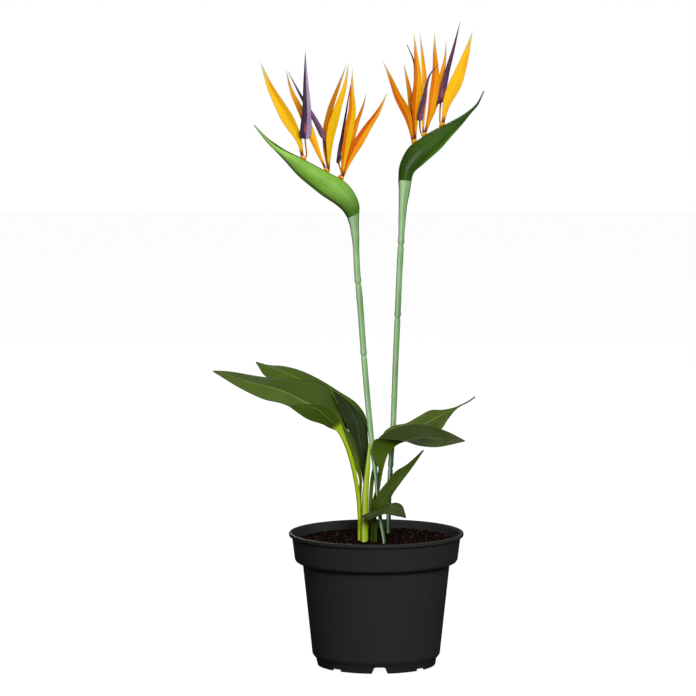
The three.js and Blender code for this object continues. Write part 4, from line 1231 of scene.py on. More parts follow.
@dataclass
class Station:
    """Axes and sizes of a spathe at one place along it."""

    lip: Vector
    keel: Vector
    up: Vector
    along: Vector
    across: Vector
    depth: float
    half_width: float
    slot_depth: float
    lip_along: Vector
    lip_up: Vector

    def above(self, beak: float, front: float, rise: float) -> Vector:
        """Returns a place above the lip, from distances to the beak, to the front and up."""
        forward = self.across * -math.copysign(1, self.across.y)
        return self.lip + self.lip_along * beak + forward * front + self.lip_up * rise


@dataclass
class Spathe:
    """The green beak under a flower: two cheeks, a keel and a slot between the lips."""

    side: Side
    slot_half_width: float = 1.8
    slot_depth: float = 7
    slot_end_share: float = 0.15
    slot_most: float = 0.55
    slot_width_share: float = 0.3
    slot_floor_share: float = 0.85
    slot_wall_share: float = 0.5
    lip_flare: float = 1.15
    cheek: Edge = ((0.62, -0.12), (0.9, -0.3), (1, -0.52), (0.72, -0.82))
    cheek_points: int = 14
    steps_per_row: int = 8

    def __post_init__(self) -> None:
        """Prepares the lip and keel curves."""
        self.rows = SPATHE_ROWS[self.side]
        self.lips = SmoothLine([row[0] for row in self.rows])
        self.keels = SmoothLine([row[1] for row in self.rows])

    def station(self, row: float) -> Station:
        """Returns the axes and sizes at a place counted in rows from the stem."""
        last = len(self.rows) - 1
        t = row / last
        lip, keel = self.lips.at(t), self.keels.at(t)
        up = lip - keel
        depth = up.length
        up.normalize()
        slope = self.lips.slope(t)
        along = slope.lerp(self.keels.slope(t), 0.5)
        along = (along - up * along.dot(up)).normalized()
        across = up.cross(along)
        index = min(int(row), last - 1)
        half_width = blend(self.rows[index][2], self.rows[index + 1][2], row - index)
        open_share = math.sqrt(max(math.sin(math.pi * t), 0.0))
        open_depth = blend(self.slot_end_share * depth, self.slot_depth, open_share)
        slot_depth = min(open_depth, self.slot_most * depth)
        lip_along = (slope - across * slope.dot(across)).normalized()
        lip_up = lip_along.cross(across).normalized()
        return Station(lip, keel, up, along, across, depth, half_width, slot_depth, lip_along, lip_up)

    def outline(self, station: Station) -> list[Span]:
        """Returns a section as places across and up from the lip, starting in the slot."""
        slot = min(self.slot_half_width, station.half_width * self.slot_width_share)
        guide = [(slot * self.lip_flare, 0.0, 0.0)]
        guide += [(w * station.half_width, d * station.depth, 0.0) for w, d in self.cheek]
        guide.append((0.0, -station.depth, 0.0))
        curve = SmoothLine(guide)
        half = [curve.at(curve.even(k / self.cheek_points)) for k in range(self.cheek_points + 1)]
        floor = -station.slot_depth
        inner = [(0.0, floor), (slot * self.slot_floor_share, floor), (slot, floor * self.slot_wall_share)]
        side = inner + [(p.x, p.y) for p in half]
        return side + [(-w, d) for w, d in side[-2:0:-1]]

    def build(self, finish: bpy.types.Material, slot: str) -> None:
        """Builds the spathe."""
        steps = (len(self.rows) - 1) * self.steps_per_row
        rings = []
        for i in range(steps + 1):
            station = self.station(i / self.steps_per_row)
            outline = self.outline(station)
            rings.append([station.lip + station.across * w + station.up * d for w, d in outline])
        bm = new_mesh()
        roll_skin(bm, rings)
        side = self.side.value
        finish_piece(f"green_spathe_{side}", bm, finish, [f"spathe_{side}"], crease=50)


@dataclass
class FlowerStem:
    """A tall stem with a flared top, pinched joints and sleeve rings."""

    side: Side
    path: list[Point]
    radius: list[Span]
    pinches: tuple[float, ...]
    rings: tuple[float, ...]
    sides: int = 20
    step: float = 2.2
    pinch_depth: float = 0.26
    pinch_reach: float = 1.5
    sleeve_lift: float = 4
    sleeve_reach: float = 2.4
    ring_swell: float = 0.12
    ring_reach: float = 1.3
    ribs: int = 7
    rib_depth: float = 0.03
    top_play: float = 0.4

    def radius_at(self, height: float) -> float:
        """Returns the stem's radius at a height, with its joints and rings."""
        plain = value_at(self.radius, height)
        for mark in self.pinches:
            plain *= 1 - self.pinch_depth * hump(height - mark, self.pinch_reach)
            plain *= 1 + self.ring_swell * hump(height - mark - self.sleeve_lift, self.sleeve_reach)
        for mark in self.rings:
            plain *= 1 + self.ring_swell * hump(height - mark, self.ring_reach)
        return plain

    def build(self, spathe: Spathe, finish: bpy.types.Material) -> None:
        """Builds the stem up to the foot of its spathe."""
        curve = SmoothLine(self.path)
        foot, top = self.path[0][2], self.radius[-1][0]
        count = round((top - foot) / self.step)
        ribs = [1 + self.rib_depth * math.cos(self.ribs * angle) for angle in turns(self.sides)]
        rings = []
        for n in range(count + 1):
            height = blend(foot, top, n / count)
            radius = self.radius_at(height)
            rings.append(stem_ring(curve, curve.at_height(height), [radius * rib for rib in ribs]))
        station = spathe.station(0)
        right = station.up * math.copysign(1, station.up.x)
        back = station.along.cross(right)
        centre = (station.lip + station.keel) / 2 - station.along * self.top_play
        rings.append(oval_ring(centre, right, back, (station.depth / 2, station.half_width), self.sides))
        bm = new_mesh()
        roll_skin(bm, rings)
        side = self.side.value
        finish_piece(f"tall_stem_{side}", bm, finish, [f"flower_stem_{side}"])


# Florets

@dataclass(frozen=True)
class Petal:
    """One sepal or arrow petal: its root on the claw, its path, width, turn and tone, which is partly its
    own colour and partly painted light, with a lean that paints one half lit and the other shaded.
    """

    root: tuple[float, float]
    path: list[Point]
    width: float
    turn: float = 0.0
    widest: float = 0.42
    tone: tuple[float, float] = (0.2, 0.0)
    knob: Point | None = None


@dataclass
class PetalMaker:
    """Shapes petals as folded blades along a curve."""

    tip_half_width: float = 0.4
    tip_reach: float = 1.15
    turn_starts: float = 0.05
    turn_ends: float = 0.28
    columns: int = 12
    wave: float = 0.25
    wave_turns: float = 17
    wave_skew: float = 2
    fold_round: float = 0.02

    def tip(self, t: float) -> float:
        """Returns the least half width at a share of the length."""
        return self.tip_half_width * (self.tip_reach - t)

    def rings(
        self, points: list[Vector], half_width: Callable[[float], float], turn: float, fold: float,
        half: Callable[[float], float], rows: int,
    ) -> list[Ring]:
        """Shapes one petal.

        Args:
            points: the places that its middle runs through.
            half_width: half its width at a share of its length.
            turn: how far its face is turned from the front, in degrees.
            fold: how far each half folds back, in degrees.
            half: half its thickness at a share of its length.
            rows: how many rows it has.

        Returns:
            The petal's rings, from its root to its tip.
        """
        line = SmoothLine([tuple(p) for p in points])
        places = spread(self.columns)
        grid = []
        for i in range(rows + 1):
            share = i / rows
            t = line.even(share)
            grown = smooth(self.turn_starts, self.turn_ends, share)
            slope = line.slope(t)
            side = slope.cross(Vector((0, 1, 0))).normalized()
            side.rotate(Matrix.Rotation(math.radians(turn) * grown, 3, slope))
            backward = side.cross(slope).normalized()
            width = half_width(share)
            sink = width * math.sin(math.radians(fold * grown))
            row = []
            for s in places:
                wave = math.sin(share * self.wave_turns + s * self.wave_skew)
                ripple = self.wave * grown * s * s * wave * (1 - share)
                depth = sink * math.sqrt(s * s + self.fold_round) - ripple
                row.append(line.at(t) + side * (s * width) - backward * depth)
            grid.append(row)

        def thickness(along: float, s: float) -> tuple[float, float]:
            """Returns both half thicknesses, thinner towards the margins."""
            reach = half(along) * math.sqrt(max(1 - s * s * s * s, 0.0))
            return reach, reach

        return blade_rings(grid, thickness)


SEPAL_ROOT_SHARE = 0.26
SEPAL_POINT = 1.25
BARB_RISE = 0.06
ARROW_POINT = 1.15
PETAL_HALF_THICKNESS = 0.4


@dataclass
class Floret:
    """A floret: orange sepals on a claw that stands in the spathe's slot, and an arrow."""

    name: str
    spathe: Spathe
    row: float
    sepals: list[Petal]
    arrow: Petal
    claw_length: float = 6
    claw_half_width: float = 1.3
    claw_clearance: float = 0.6
    claw_top: float = 0.4
    claw_sides: int = 24
    claw_tone: Span = (0.35, 0)
    collar: Span = (3.6, 3.0)
    collar_shape: tuple[Point, ...] = (
        (0.6, 0.9, 0.7), (1.3, 1, 1), (2.4, 0.95, 0.9), (3.4, 0.7, 0.6),
    )
    sepal_rise: float = 2.2
    sepal_fold: float = 24
    sepal_thinning: Span = (1.1, 0.5)
    sepal_rows: int = 56
    arrow_foot: float = 1.8
    arrow_straight: float = 4.9
    arrow_fold: float = 30
    arrow_rows: int = 84
    stalk: float = 0.8
    knob_radius: float = 4.2
    knob_place: Span = (0.25, 0.36)
    maker: PetalMaker = field(default_factory=PetalMaker)

    def claw(self, station: Station) -> list[Ring]:
        """Shapes the claw: a tongue in the slot that swells into a rounded collar."""
        foot = self.claw_clearance - station.slot_depth * abs(station.lip_up.dot(station.up))
        tongue = (self.claw_length / 2, self.claw_half_width)
        long_radius, wide_radius = self.collar
        levels = [(foot, tongue), (self.claw_top, tongue)]
        levels += [(rise, (long_radius * a, wide_radius * b)) for rise, a, b in self.collar_shape]
        return [
            oval_ring(station.above(0, 0, rise), station.lip_along, station.across, halves, self.claw_sides)
            for rise, halves in levels
        ]

    def sepal_width(self, petal: Petal) -> Callable[[float], float]:
        """Returns the half width of a sepal along its length."""
        def width(t: float) -> float:
            """Returns the half width at a share of the length."""
            if t < petal.widest:
                shape = blend(SEPAL_ROOT_SHARE, 1, smooth(0, petal.widest, t))
            else:
                shape = 1 - ((t - petal.widest) / (1 - petal.widest)) ** SEPAL_POINT
            return max(self.maker.tip(t), petal.width * shape)
        return width

    def sepal_half(self, t: float) -> float:
        """Returns half the thickness of a sepal at a share of its length."""
        foot, loss = self.sepal_thinning
        return PETAL_HALF_THICKNESS * (foot - loss * t)

    def build_sepals(self, finish: bpy.types.Material) -> None:
        """Builds the claw and its sepals."""
        station = self.spathe.station(self.row)
        bm = new_mesh()
        roll_skin(bm, self.claw(station), self.claw_tone)
        for petal in self.sepals:
            points = [station.above(*petal.root, self.sepal_rise), *map(Vector, petal.path)]
            rings = self.maker.rings(
                points, self.sepal_width(petal), petal.turn, self.sepal_fold,
                self.sepal_half, self.sepal_rows,
            )
            roll_skin(bm, rings, petal.tone)
        finish_piece(f"orange_sepals_{self.name}", bm, finish, [f"sepals_{self.name}"])

    def build_arrow(self, finish: bpy.types.Material) -> None:
        """Builds the arrow petal."""
        station = self.spathe.station(self.row)
        petal, barb = self.arrow, self.arrow.widest
        points = [
            station.above(*petal.root, self.arrow_foot),
            station.above(*petal.root, self.arrow_straight),
            *map(Vector, petal.path),
        ]

        def width(t: float) -> float:
            """Returns the half width: a thin stalk, barbs, then a long point."""
            if t < barb:
                below = min((barb - t) / BARB_RISE, 1.0)
                return max(self.stalk, petal.width * math.sqrt(1 - below * below))
            shape = 1 - ((t - barb) / (1 - barb)) ** ARROW_POINT
            return max(self.maker.tip(t), petal.width * shape)

        def half(t: float) -> float:
            """Returns half the thickness: a round stalk and a thin blade."""
            return blend(self.stalk, PETAL_HALF_THICKNESS, smooth(barb - BARB_RISE, barb, t))

        bm = new_mesh()
        rings = self.maker.rings(points, width, petal.turn, self.arrow_fold, half, self.arrow_rows)
        roll_skin(bm, rings, petal.tone)
        if petal.knob:
            ball = bmesh.ops.create_icosphere(
                bm, subdivisions=3, radius=self.knob_radius, matrix=Matrix.Translation(petal.knob)
            )
            places, tones = (bm.loops.layers.uv[key] for key in ("place", "tone"))
            for vert in ball["verts"]:
                for loop in vert.link_loops:
                    loop[places].uv = self.knob_place
                    loop[tones].uv = petal.tone
        finish_piece(f"purple_arrow_{self.name}", bm, finish, [f"arrow_{self.name}"])


# Leaves

STEM_FOOT = 105.0
STEM_BEND = 121.0


@dataclass
class Leaf:
    """A leaf: a stalk that widens into a channelled blade with a midrib."""

    name: str
    stalk: list[Point]
    radius: float
    rows: list[Row]
    kind: LeafKind
    slot: str = "dark_leaf"
    columns: int = 18
    stalk_steps: int = 34
    blade_steps: int = 66
    edge: float = 0.33
    edge_power: int = 8
    swell: float = 0.35
    rib: float = 1.0
    rib_reach: float = 0.1
    flattening: float = 0.85
    groove: float = 0.25
    groove_reach: float = 0.35
    opening_rows: Span = (0.6, 1.5)
    opening_share: Span = (0.8, 1.25)
    ripple: float = 0.5
    ripple_turns: float = 26
    ripple_skew: float = 1.7
    cup: float = 0.35
    least_lift: float = 1e-6

    def spine(self) -> tuple[list[Row], int]:
        """Returns the rows from the foot to the tip, and how many belong to the stalk."""
        x, y, _ = self.stalk[0]
        centres = [Vector(p) for p in ((x, y, STEM_FOOT), (x, y, STEM_BEND), *self.stalk)]
        first = [Vector(p) for p in self.rows[0]]
        span = first[0] - first[2]
        stalk_rows = []
        for here, after in zip(centres, [*centres[1:], first[1]]):
            slope = (after - here).normalized()
            side = (span - slope * span.dot(slope)).normalized() * self.radius
            stalk_rows.append((tuple(here + side), tuple(here), tuple(here - side)))
        return [*stalk_rows, *self.rows], len(centres)

    def grid(self) -> list[Ring]:
        """Returns the middle points of the whole leaf."""
        rows, count = self.spine()
        lines = [SmoothLine([row[k] for row in rows]) for k in range(3)]
        spans = len(rows) - 1
        stops = [count * n / self.stalk_steps for n in range(self.stalk_steps)]
        stops += [blend(count, spans, n / self.blade_steps) for n in range(self.blade_steps + 1)]
        before, after = self.opening_rows
        places = spread(self.columns)
        grid = []
        for stop in stops:
            share = stop / spans
            far, rib, near = (line.at(share) for line in lines)
            onto = smooth(count - before, count + after, stop)
            lift = (near - rib).cross(far - rib)
            lift = lift.normalized() if lift.length > self.least_lift else Vector((0, 0, 0))
            row = []
            for s in places:
                flank = abs(s)
                point = rib.lerp(far if s < 0 else near, flank)
                swell = self.cup * math.sin(math.pi * flank)
                ripple = self.ripple * s * s * math.sin(share * self.ripple_turns + s * self.ripple_skew)
                row.append(point + lift * (onto * (swell + ripple) * (1 - share**4)))
            grid.append(row)
        return grid

    def half(self, along: float, s: float) -> Span:
        """Returns the distances to the upper and lower face."""
        share = self.stalk_steps / (self.stalk_steps + self.blade_steps)
        starts, ends = self.opening_share
        onto = smooth(share * starts, share * ends, along)
        taper = 1 - smooth(share, 1.0, along)
        stalk = self.radius * self.flattening * math.sqrt(max(1 - s * s, 0.0))
        groove = 1 - self.groove * hump(s, self.groove_reach)
        margin = self.edge * math.sqrt(max(1 - s**self.edge_power, 0.0))
        ridge = self.rib * taper * hump(s, self.rib_reach)
        body = margin + self.swell * taper * (1 - abs(s)) ** 2
        return blend(stalk * groove, body, onto), blend(stalk, body + ridge, onto)

    def build(self, finish: bpy.types.Material) -> None:
        """Builds the leaf."""
        bm = new_mesh()
        roll_skin(bm, blade_rings(self.grid(), self.half))
        finish_piece(f"green_{self.name}", bm, finish, [self.name])


@dataclass
class BentLeaf:
    """The small leaf that is pointed at both ends and stands on its own stalk."""

    rows: list[Row]
    stalk: list[Point]
    radius: list[Span]
    columns: int = 14
    steps: int = 48
    edge: float = 0.34
    edge_power: int = 8
    body: float = 0.1
    rib: float = 0.5
    rib_reach: float = 0.12
    stalk_sides: int = 16
    stalk_steps: int = 30
    stalk_share: float = 0.96

    def half(self, along: float, s: float) -> Span:
        """Returns the distances to the upper and lower face, with a ridge under the midrib."""
        margin = self.edge * math.sqrt(max(1 - s**self.edge_power, 0.0))
        ridge = self.rib * math.sin(math.pi * along) * hump(s, self.rib_reach)
        return margin + self.body, margin + self.body + ridge

    def build(self, finish: bpy.types.Material) -> None:
        """Builds the blade and its stalk as one piece."""
        lines = [SmoothLine([row[k] for row in self.rows]) for k in range(3)]
        grid = []
        for n in range(self.steps + 1):
            far, rib, near = (line.at(n / self.steps) for line in lines)
            grid.append([rib.lerp(far if s < 0 else near, abs(s)) for s in spread(self.columns)])
        bm = new_mesh()
        roll_skin(bm, blade_rings(grid, self.half))
        curve = SmoothLine(self.stalk)
        rings = []
        for n in range(self.stalk_steps + 1):
            t = n / self.stalk_steps
            radius = value_at(self.radius, curve.at(t).z) * self.stalk_share
            rings.append(stem_ring(curve, t, [radius] * self.stalk_sides))
        roll_skin(bm, rings)
        finish_piece("green_leaf_small_bent", bm, finish, ["leaf_small_bent"])


@dataclass
class Spear:
    """The rolled young leaf, with the seam where its margin overlaps."""

    path: list[Point]
    radius: list[Span]
    sides: int = 28
    steps: int = 70
    overlap: float = 0.14
    seam_at: float = 0.62
    seam_play: float = 0.25
    seam_turns: float = 2.2

    def build(self, finish: bpy.types.Material) -> None:
        """Builds the spear."""
        curve = SmoothLine(self.path)
        foot, top = self.path[0][2], self.radius[-1][0]
        rings = []
        for n in range(self.steps + 1):
            height = blend(foot, top, n / self.steps)
            plain = value_at(self.radius, height)
            seam = self.seam_at + self.seam_play * math.sin(n / self.steps * self.seam_turns)
            past_seam = [(k / self.sides - seam) % 1 - 0.5 for k in range(self.sides)]
            radii = [plain * (1 + self.overlap * past) for past in past_seam]
            rings.append(stem_ring(curve, curve.at_height(height), radii))
        bm = new_mesh()
        roll_skin(bm, rings)
        finish_piece("green_spear", bm, finish, ["leaf_spear"], crease=60)


# The plant

FLOWER_STEMS = [
    FlowerStem(
        Side.LEFT,
        path=[
            (8.5, -18, 105), (8.5, -18, 121), (8.5, -18, 137), (4, -11.5, 163), (1.5, -7.5, 186),
            (0, -6, 203), (-2, -2.5, 218), (-4, 3, 234), (-5.5, 8, 247), (-9.5, 11, 288),
            (-13.5, 10, 335), (-18, 6, 397), (-21, 4, 430), (-22.5, 2, 463), (-24, 1, 479),
        ],
        radius=[(105, 2.1), (163, 2.1), (218, 2.6), (260, 3.1), (455, 3.4), (479, 5)],
        pinches=(415, 336),
        rings=(399,),
    ),
    FlowerStem(
        Side.RIGHT,
        path=[
            (13.5, 32, 105), (13.5, 32, 121), (13.5, 32, 137), (14, 30, 176), (16, 27, 218),
            (18.5, 25, 259), (21, 19, 331), (23, 14, 379), (24.5, 11, 419), (26.5, 9, 459),
            (28.5, 9, 500), (30, 9.5, 515),
        ],
        radius=[(105, 2.5), (176, 2.6), (264, 3.1), (470, 3.3), (500, 4.6), (514, 5.9)],
        pinches=(457, 377, 211),
        rings=(439, 291),
    ),
]

FLORETS = {
    "left_outer": (
        Side.LEFT, 5.84,
        [Petal((1.6, 0), [(-83.5, -9, 572), (-99.5, -13, 602), (-114, -15, 629), (-124.5, -14, 656)], 6.6,
               tone=(0.1, 0.1))],
        Petal((-1.8, 0.4), [(-76.5, -13, 572), (-75, -19, 604), (-76, -19, 637), (-76.5, -15, 667)], 6.4,
              widest=0.25, tone=(0.45, 0.5)),
    ),
    "left_middle": (
        Side.LEFT, 4.5,
        [Petal((2.2, -0.4), [(-68.5, 4, 571), (-81, 9, 600), (-92, 11, 624), (-97.5, 9, 647)], 4.8, 25,
               tone=(0.35, -0.2)),
         Petal((-1.2, -1.8), [(-56, 12, 572), (-51, 20, 602), (-41.5, 22, 628), (-32, 18, 652)], 4.6, 35,
               tone=(0.62, 0.1)),
         Petal((-1.6, 1.6), [(-49.5, -10, 577), (-42.5, -15, 604), (-34, -16, 631), (-30, -12, 655)], 5,
               tone=(0.05, 0.0))],
        Petal((0.2, 0.6), [(-56, -1, 569), (-64, -1, 588), (-79, 0, 614), (-95, 0, 645)], 3.4, 20,
              widest=0.36, tone=(0.45, 0.2)),
    ),
    "left_inner": (
        Side.LEFT, 3.44,
        [Petal((-0.4, -0.4), [(-32, -7, 572), (-26.5, -11, 602), (-26.5, -13, 626), (-26, -11, 648)], 5.6,
               tone=(0.4, -0.4)),
         Petal((-0.8, -1.8), [(-31, 8, 560), (-21.5, 15, 590), (-14.5, 15, 608), (-11, 11, 621)], 4.2, 35,
               tone=(0.75, 0.0)),
         Petal((-1.4, 0.4), [(-26, -1, 557), (-11.5, 2, 582), (2.5, 3, 603), (12, 5, 623)], 5.2,
               tone=(0.68, -0.35))],
        Petal((1.4, 2), [(-42, -11, 554), (-38, -19, 578), (-32.5, -24, 607), (-28, -22, 631)], 4.4, 62,
              widest=0.22, tone=(0.0, 0.0)),
    ),
    "right_inner": (
        Side.RIGHT, 3.67,
        [Petal((-1.6, 0.4), [(33.5, 16, 597), (22.5, 10, 619), (14, 6, 640), (7, 4, 656)], 4.8,
               tone=(0.72, -0.2)),
         Petal((-0.4, -1.8), [(37.5, 28, 602), (34.5, 31, 625), (31.5, 30, 642), (29.5, 28, 653)], 4.4, 35,
               tone=(0.65, 0.0)),
         Petal((1.6, 1.4), [(42.5, 15, 608), (44.5, 12, 640), (42, 12, 667), (40.5, 14, 686)], 5,
               tone=(0.58, -0.3))],
        Petal((-0.2, 0.3), [(38, 21, 591), (40.5, 23, 629), (40, 22, 654), (33, 19, 673)], 3, 60,
              widest=0.6, tone=(0.0, 0.0)),
    ),
    "right_middle": (
        Side.RIGHT, 4.46,
        [Petal((-0.6, -1.8), [(50.5, 35, 603), (51.5, 39, 634), (49.5, 39, 661), (47, 37, 685)], 3.8, 30,
               tone=(0.35, 0.2)),
         Petal((1.2, 1.2), [(60, 26, 607), (64, 28, 640), (63, 29, 667), (63, 31, 685)], 5,
               tone=(0.6, -0.2)),
         Petal((2, -1.2), [(61.5, 46, 602.5), (69, 51, 632.5), (74.5, 54, 656.5), (76, 54, 675.5)], 4.2, 25,
               tone=(0.4, 0.0))],
        Petal((-2.2, 0.8), [(47, 16, 593), (51, 7, 616), (57.5, 8, 641), (66.5, 12, 652)], 3.4,
              widest=0.3, tone=(0.5, 0.15)),
    ),
    "right_outer": (
        Side.RIGHT, 5.56,
        [Petal((1.4, 0.6), [(76.5, 40, 609), (88, 46, 635), (97, 51, 660), (104.5, 55, 686)], 7,
               tone=(0.12, 0.05))],
        Petal((0.2, -1.4), [(70, 41.5, 610), (75.5, 44, 638.5), (83, 46, 665.5), (91, 48, 696.5)], 4, 10,
              widest=0.28, tone=(0.3, -0.1), knob=(67, 40, 612)),
    ),
}

LEAVES = [
    Leaf(
        "leaf_front_left",
        [(-17, 10, 137), (-17.5, 9, 186), (-17, 8, 201)],
        1.7,
        [
            ((-17.5, 8.5, 214), (-19.5, 6.5, 213), (-22.5, 5.5, 213.5)),
            ((-19.5, 9, 228), (-23, 6, 226), (-28, 3.5, 226.5)),
            ((-24, 9, 245), (-28.5, 5, 241), (-33.5, 1, 242)),
            ((-35.5, 8, 262), (-38, 4, 257), (-40.5, 0, 254)),
            ((-41.5, 19, 280), (-48, 5, 265), (-52.5, -4, 260)),
            ((-54.5, 22, 302), (-63, 4, 279), (-68.5, -10, 270)),
            ((-72, 22, 308), (-79.5, 2, 287), (-83.5, -14, 278)),
            ((-92.5, 18, 310), (-97, -2, 297), (-101, -16, 287)),
            ((-113, 12, 312), (-116, -7, 304), (-120.5, -20, 292)),
            ((-134.5, 4, 316), (-136.5, -13, 310), (-139.5, -24, 301)),
            ((-153, -6, 320.5), (-155, -18, 317), (-157, -26, 311)),
            ((-166.5, -15, 323), (-167.5, -21, 322), (-168, -26, 318)),
            ((-176, -24, 324), (-176.2, -25, 323.6), (-176, -26, 323)),
        ],
        LeafKind.LARGE,
    ),
    Leaf(
        "leaf_back_left",
        [(-11, 18, 137), (-11, 20, 177), (-10.5, 24, 209), (-10.5, 27, 231)],
        2.4,
        [
            ((-9, 33, 245), (-13, 29, 246), (-18.5, 26, 242)),
            ((-11, 38, 266), (-20, 32, 259), (-28.5, 26, 251)),
            ((-21, 44, 280), (-33, 35, 273), (-41.5, 26, 264)),
            ((-39.5, 50, 292), (-50.5, 38, 287), (-59, 25, 277)),
            ((-59, 55, 304), (-70, 40, 300), (-79.5, 25, 290)),
            ((-80, 57, 314), (-88.5, 42, 309), (-96, 26, 300)),
            ((-100.5, 55, 320), (-105, 43, 316), (-111.5, 30, 306)),
            ((-118, 49, 322), (-120.5, 44, 321), (-122.5, 38, 312)),
            ((-131, 44, 326), (-131.4, 43, 325.6), (-131, 42, 325)),
        ],
        LeafKind.FRESH,
    ),
    Leaf(
        "leaf_left_upright",
        [(-10, 10, 137), (-11, 10, 178), (-12.5, 12, 197)],
        1.9,
        [
            ((-16.5, 12.5, 210), (-14.5, 14.5, 209), (-12, 15.5, 210)),
            ((-21, 12.5, 223), (-16, 15.5, 224), (-10, 17, 224)),
            ((-25, 12, 241), (-18, 16, 243), (-9.5, 18.5, 242)),
            ((-32, 10, 260), (-22, 15, 263), (-10, 20, 257)),
            ((-38, 9, 274), (-28.5, 15, 277), (-15.5, 21, 269)),
            ((-42.5, 8, 286), (-36, 12, 288), (-25.5, 18, 281)),
            ((-45.5, 8, 294), (-42, 9.5, 294.5), (-36.5, 13, 291)),
            ((-47.4, 7.6, 298.4), (-47, 8, 298.4), (-46.4, 8.4, 298)),
        ],
        LeafKind.SHADED,
    ),
    Leaf(
        "leaf_bright_front",
        [(-18, 3, 137), (-18, 2, 163), (-20.5, 0, 191), (-27, -5, 224), (-33.5, -9, 244)],
        2.6,
        [
            ((-36, -6, 257), (-39.5, -12, 256), (-42.5, -15, 257)),
            ((-39, -9, 267), (-46, -17, 264), (-48.5, -22, 262)),
            ((-46, -15, 278), (-55.5, -25, 275), (-61, -36, 268)),
            ((-55.5, -22, 286), (-64, -33, 283), (-72.5, -45, 273)),
            ((-68.5, -33, 289), (-75, -41, 287), (-81, -51, 279)),
            ((-83.5, -44, 290), (-86.5, -48, 289), (-89, -53, 285)),
            ((-94, -53.4, 290.2), (-94.4, -54, 289.8), (-94, -54.6, 289.2)),
        ],
        LeafKind.BRIGHT,
        "bright_leaf",
    ),
    Leaf(
        "leaf_front_right",
        [(-5, 3, 137), (-4, 2, 157), (-2.5, 2, 177), (2, 1.5, 193)],
        2.5,
        [
            ((2, 2.5, 206), (4, 0.3, 204), (3.4, -2, 206)),
            ((2.4, 1, 216), (5.8, -3, 213.5), (2.2, -8.4, 216)),
            ((2, 0.5, 228), (8.8, -4.5, 224), (-2.6, -9, 228)),
            ((-1.5, 0.5, 241), (12.5, -5, 233), (-5, -11, 238)),
            ((5, 4, 250), (18, -7, 239), (-1.5, -15, 248)),
            ((16, 7, 256), (25.5, -9, 244), (13.5, -19, 249)),
            ((28, 8, 260), (35.5, -12, 247), (28.5, -23, 248)),
            ((45.5, 6, 263), (49.5, -16, 250), (45, -29, 243)),
            ((62.5, 0, 260), (65.5, -21, 250), (64, -34, 242)),
            ((77.5, -10, 256), (80.5, -26, 249), (80, -35, 245)),
            ((95, -31, 249.4), (95.6, -32, 248.9), (95, -33, 248.4)),
        ],
        LeafKind.GREY,
    ),
    Leaf(
        "leaf_back_right",
        [(-5, 12, 137), (-6, 12, 168), (-5.5, 12, 188), (-3.5, 12.5, 206), (0.5, 13, 220)],
        2.4,
        [
            ((5, 16, 240), (10.5, 14, 236), (6.5, 11, 237)),
            ((8.5, 18, 252), (16, 14, 245), (13, 11, 244)),
            ((19.5, 18, 259), (27, 14, 251), (26, 11, 249)),
            ((32.5, 18, 262), (39, 13, 255), (39, 9.5, 253)),
            ((47.5, 20, 270), (52, 12, 261), (53, 6, 254)),
            ((59.5, 19, 276), (66, 10, 269), (68, 3, 255)),
            ((72.5, 14, 277), (77, 8, 275), (78, 4, 268)),
            ((83.5, 9, 280), (84.5, 7, 278.5), (85, 5, 276.5)),
            ((90.7, 7, 283), (91, 6, 282.4), (91.3, 5, 281.8)),
            ((99.2, 3.8, 287.6), (99.5, 3, 287), (99.8, 2.2, 286.4)),
            ((106.6, 0.6, 293.3), (107, 0, 292.8), (107.4, -0.6, 292.3)),
        ],
        LeafKind.DARK,
    ),
    Leaf(
        "leaf_lance",
        [(-1, -9, 137), (-1, -10.5, 155), (-1, -14, 165)],
        1.9,
        [
            ((-4, -14.5, 173), (1.5, -16, 172), (9.5, -17, 174)),
            ((2, -14.5, 189), (7.5, -17, 182), (14, -18.5, 182)),
            ((11.5, -15, 202), (16, -18, 194), (18.5, -20, 190)),
            ((21, -18, 214), (25.5, -20, 208), (28, -22, 204)),
            ((33, -21, 222), (36.5, -22.5, 220), (39, -24, 219)),
            ((50.2, -26.6, 238.5), (50.8, -27, 238.2), (51.4, -27.4, 237.9)),
        ],
        LeafKind.LANCE,
    ),
]

BENT_LEAF = BentLeaf(
    [
        ((-16.4, -16.5, 164.6), (-16.8, -17, 164.2), (-16.4, -17.5, 163.8)),
        ((-6.5, -20, 170), (-6, -24, 167), (-7, -28, 162)),
        ((4, -21, 174), (5, -26, 172), (4, -32, 168)),
        ((14.5, -22, 179), (14, -28, 176), (12, -34.5, 169.4)),
        ((22.5, -22.5, 180.2), (20.5, -29, 176), (17.5, -35.5, 168.2)),
        ((28, -26, 177.6), (25.5, -31, 173.2), (22.5, -36, 167.2)),
        ((30.4, -30, 172), (28.8, -32.6, 169.6), (26.8, -35.6, 166.4)),
        ((32, -33.6, 165.9), (31.8, -34, 165.4), (31.2, -34.4, 165.1)),
    ],
    [(-5, -11, 105), (-5, -11, 121), (-5, -11, 138), (-4.5, -15, 150), (-3.5, -24, 167.5)],
    [(105, 1.9), (150, 1.9), (167.5, 0.9)],
)

SPEAR = Spear(
    [
        (-12.5, -3, 105), (-12.5, -3, 121), (-12.5, -3, 137), (-12, -3.5, 164),
        (-11.5, -5, 191), (-9, -6, 219), (-7, -6, 246),
    ],
    [(105, 4), (164, 4), (191, 3.5), (219, 2.6), (238, 1.5), (246, 0.5)],
)


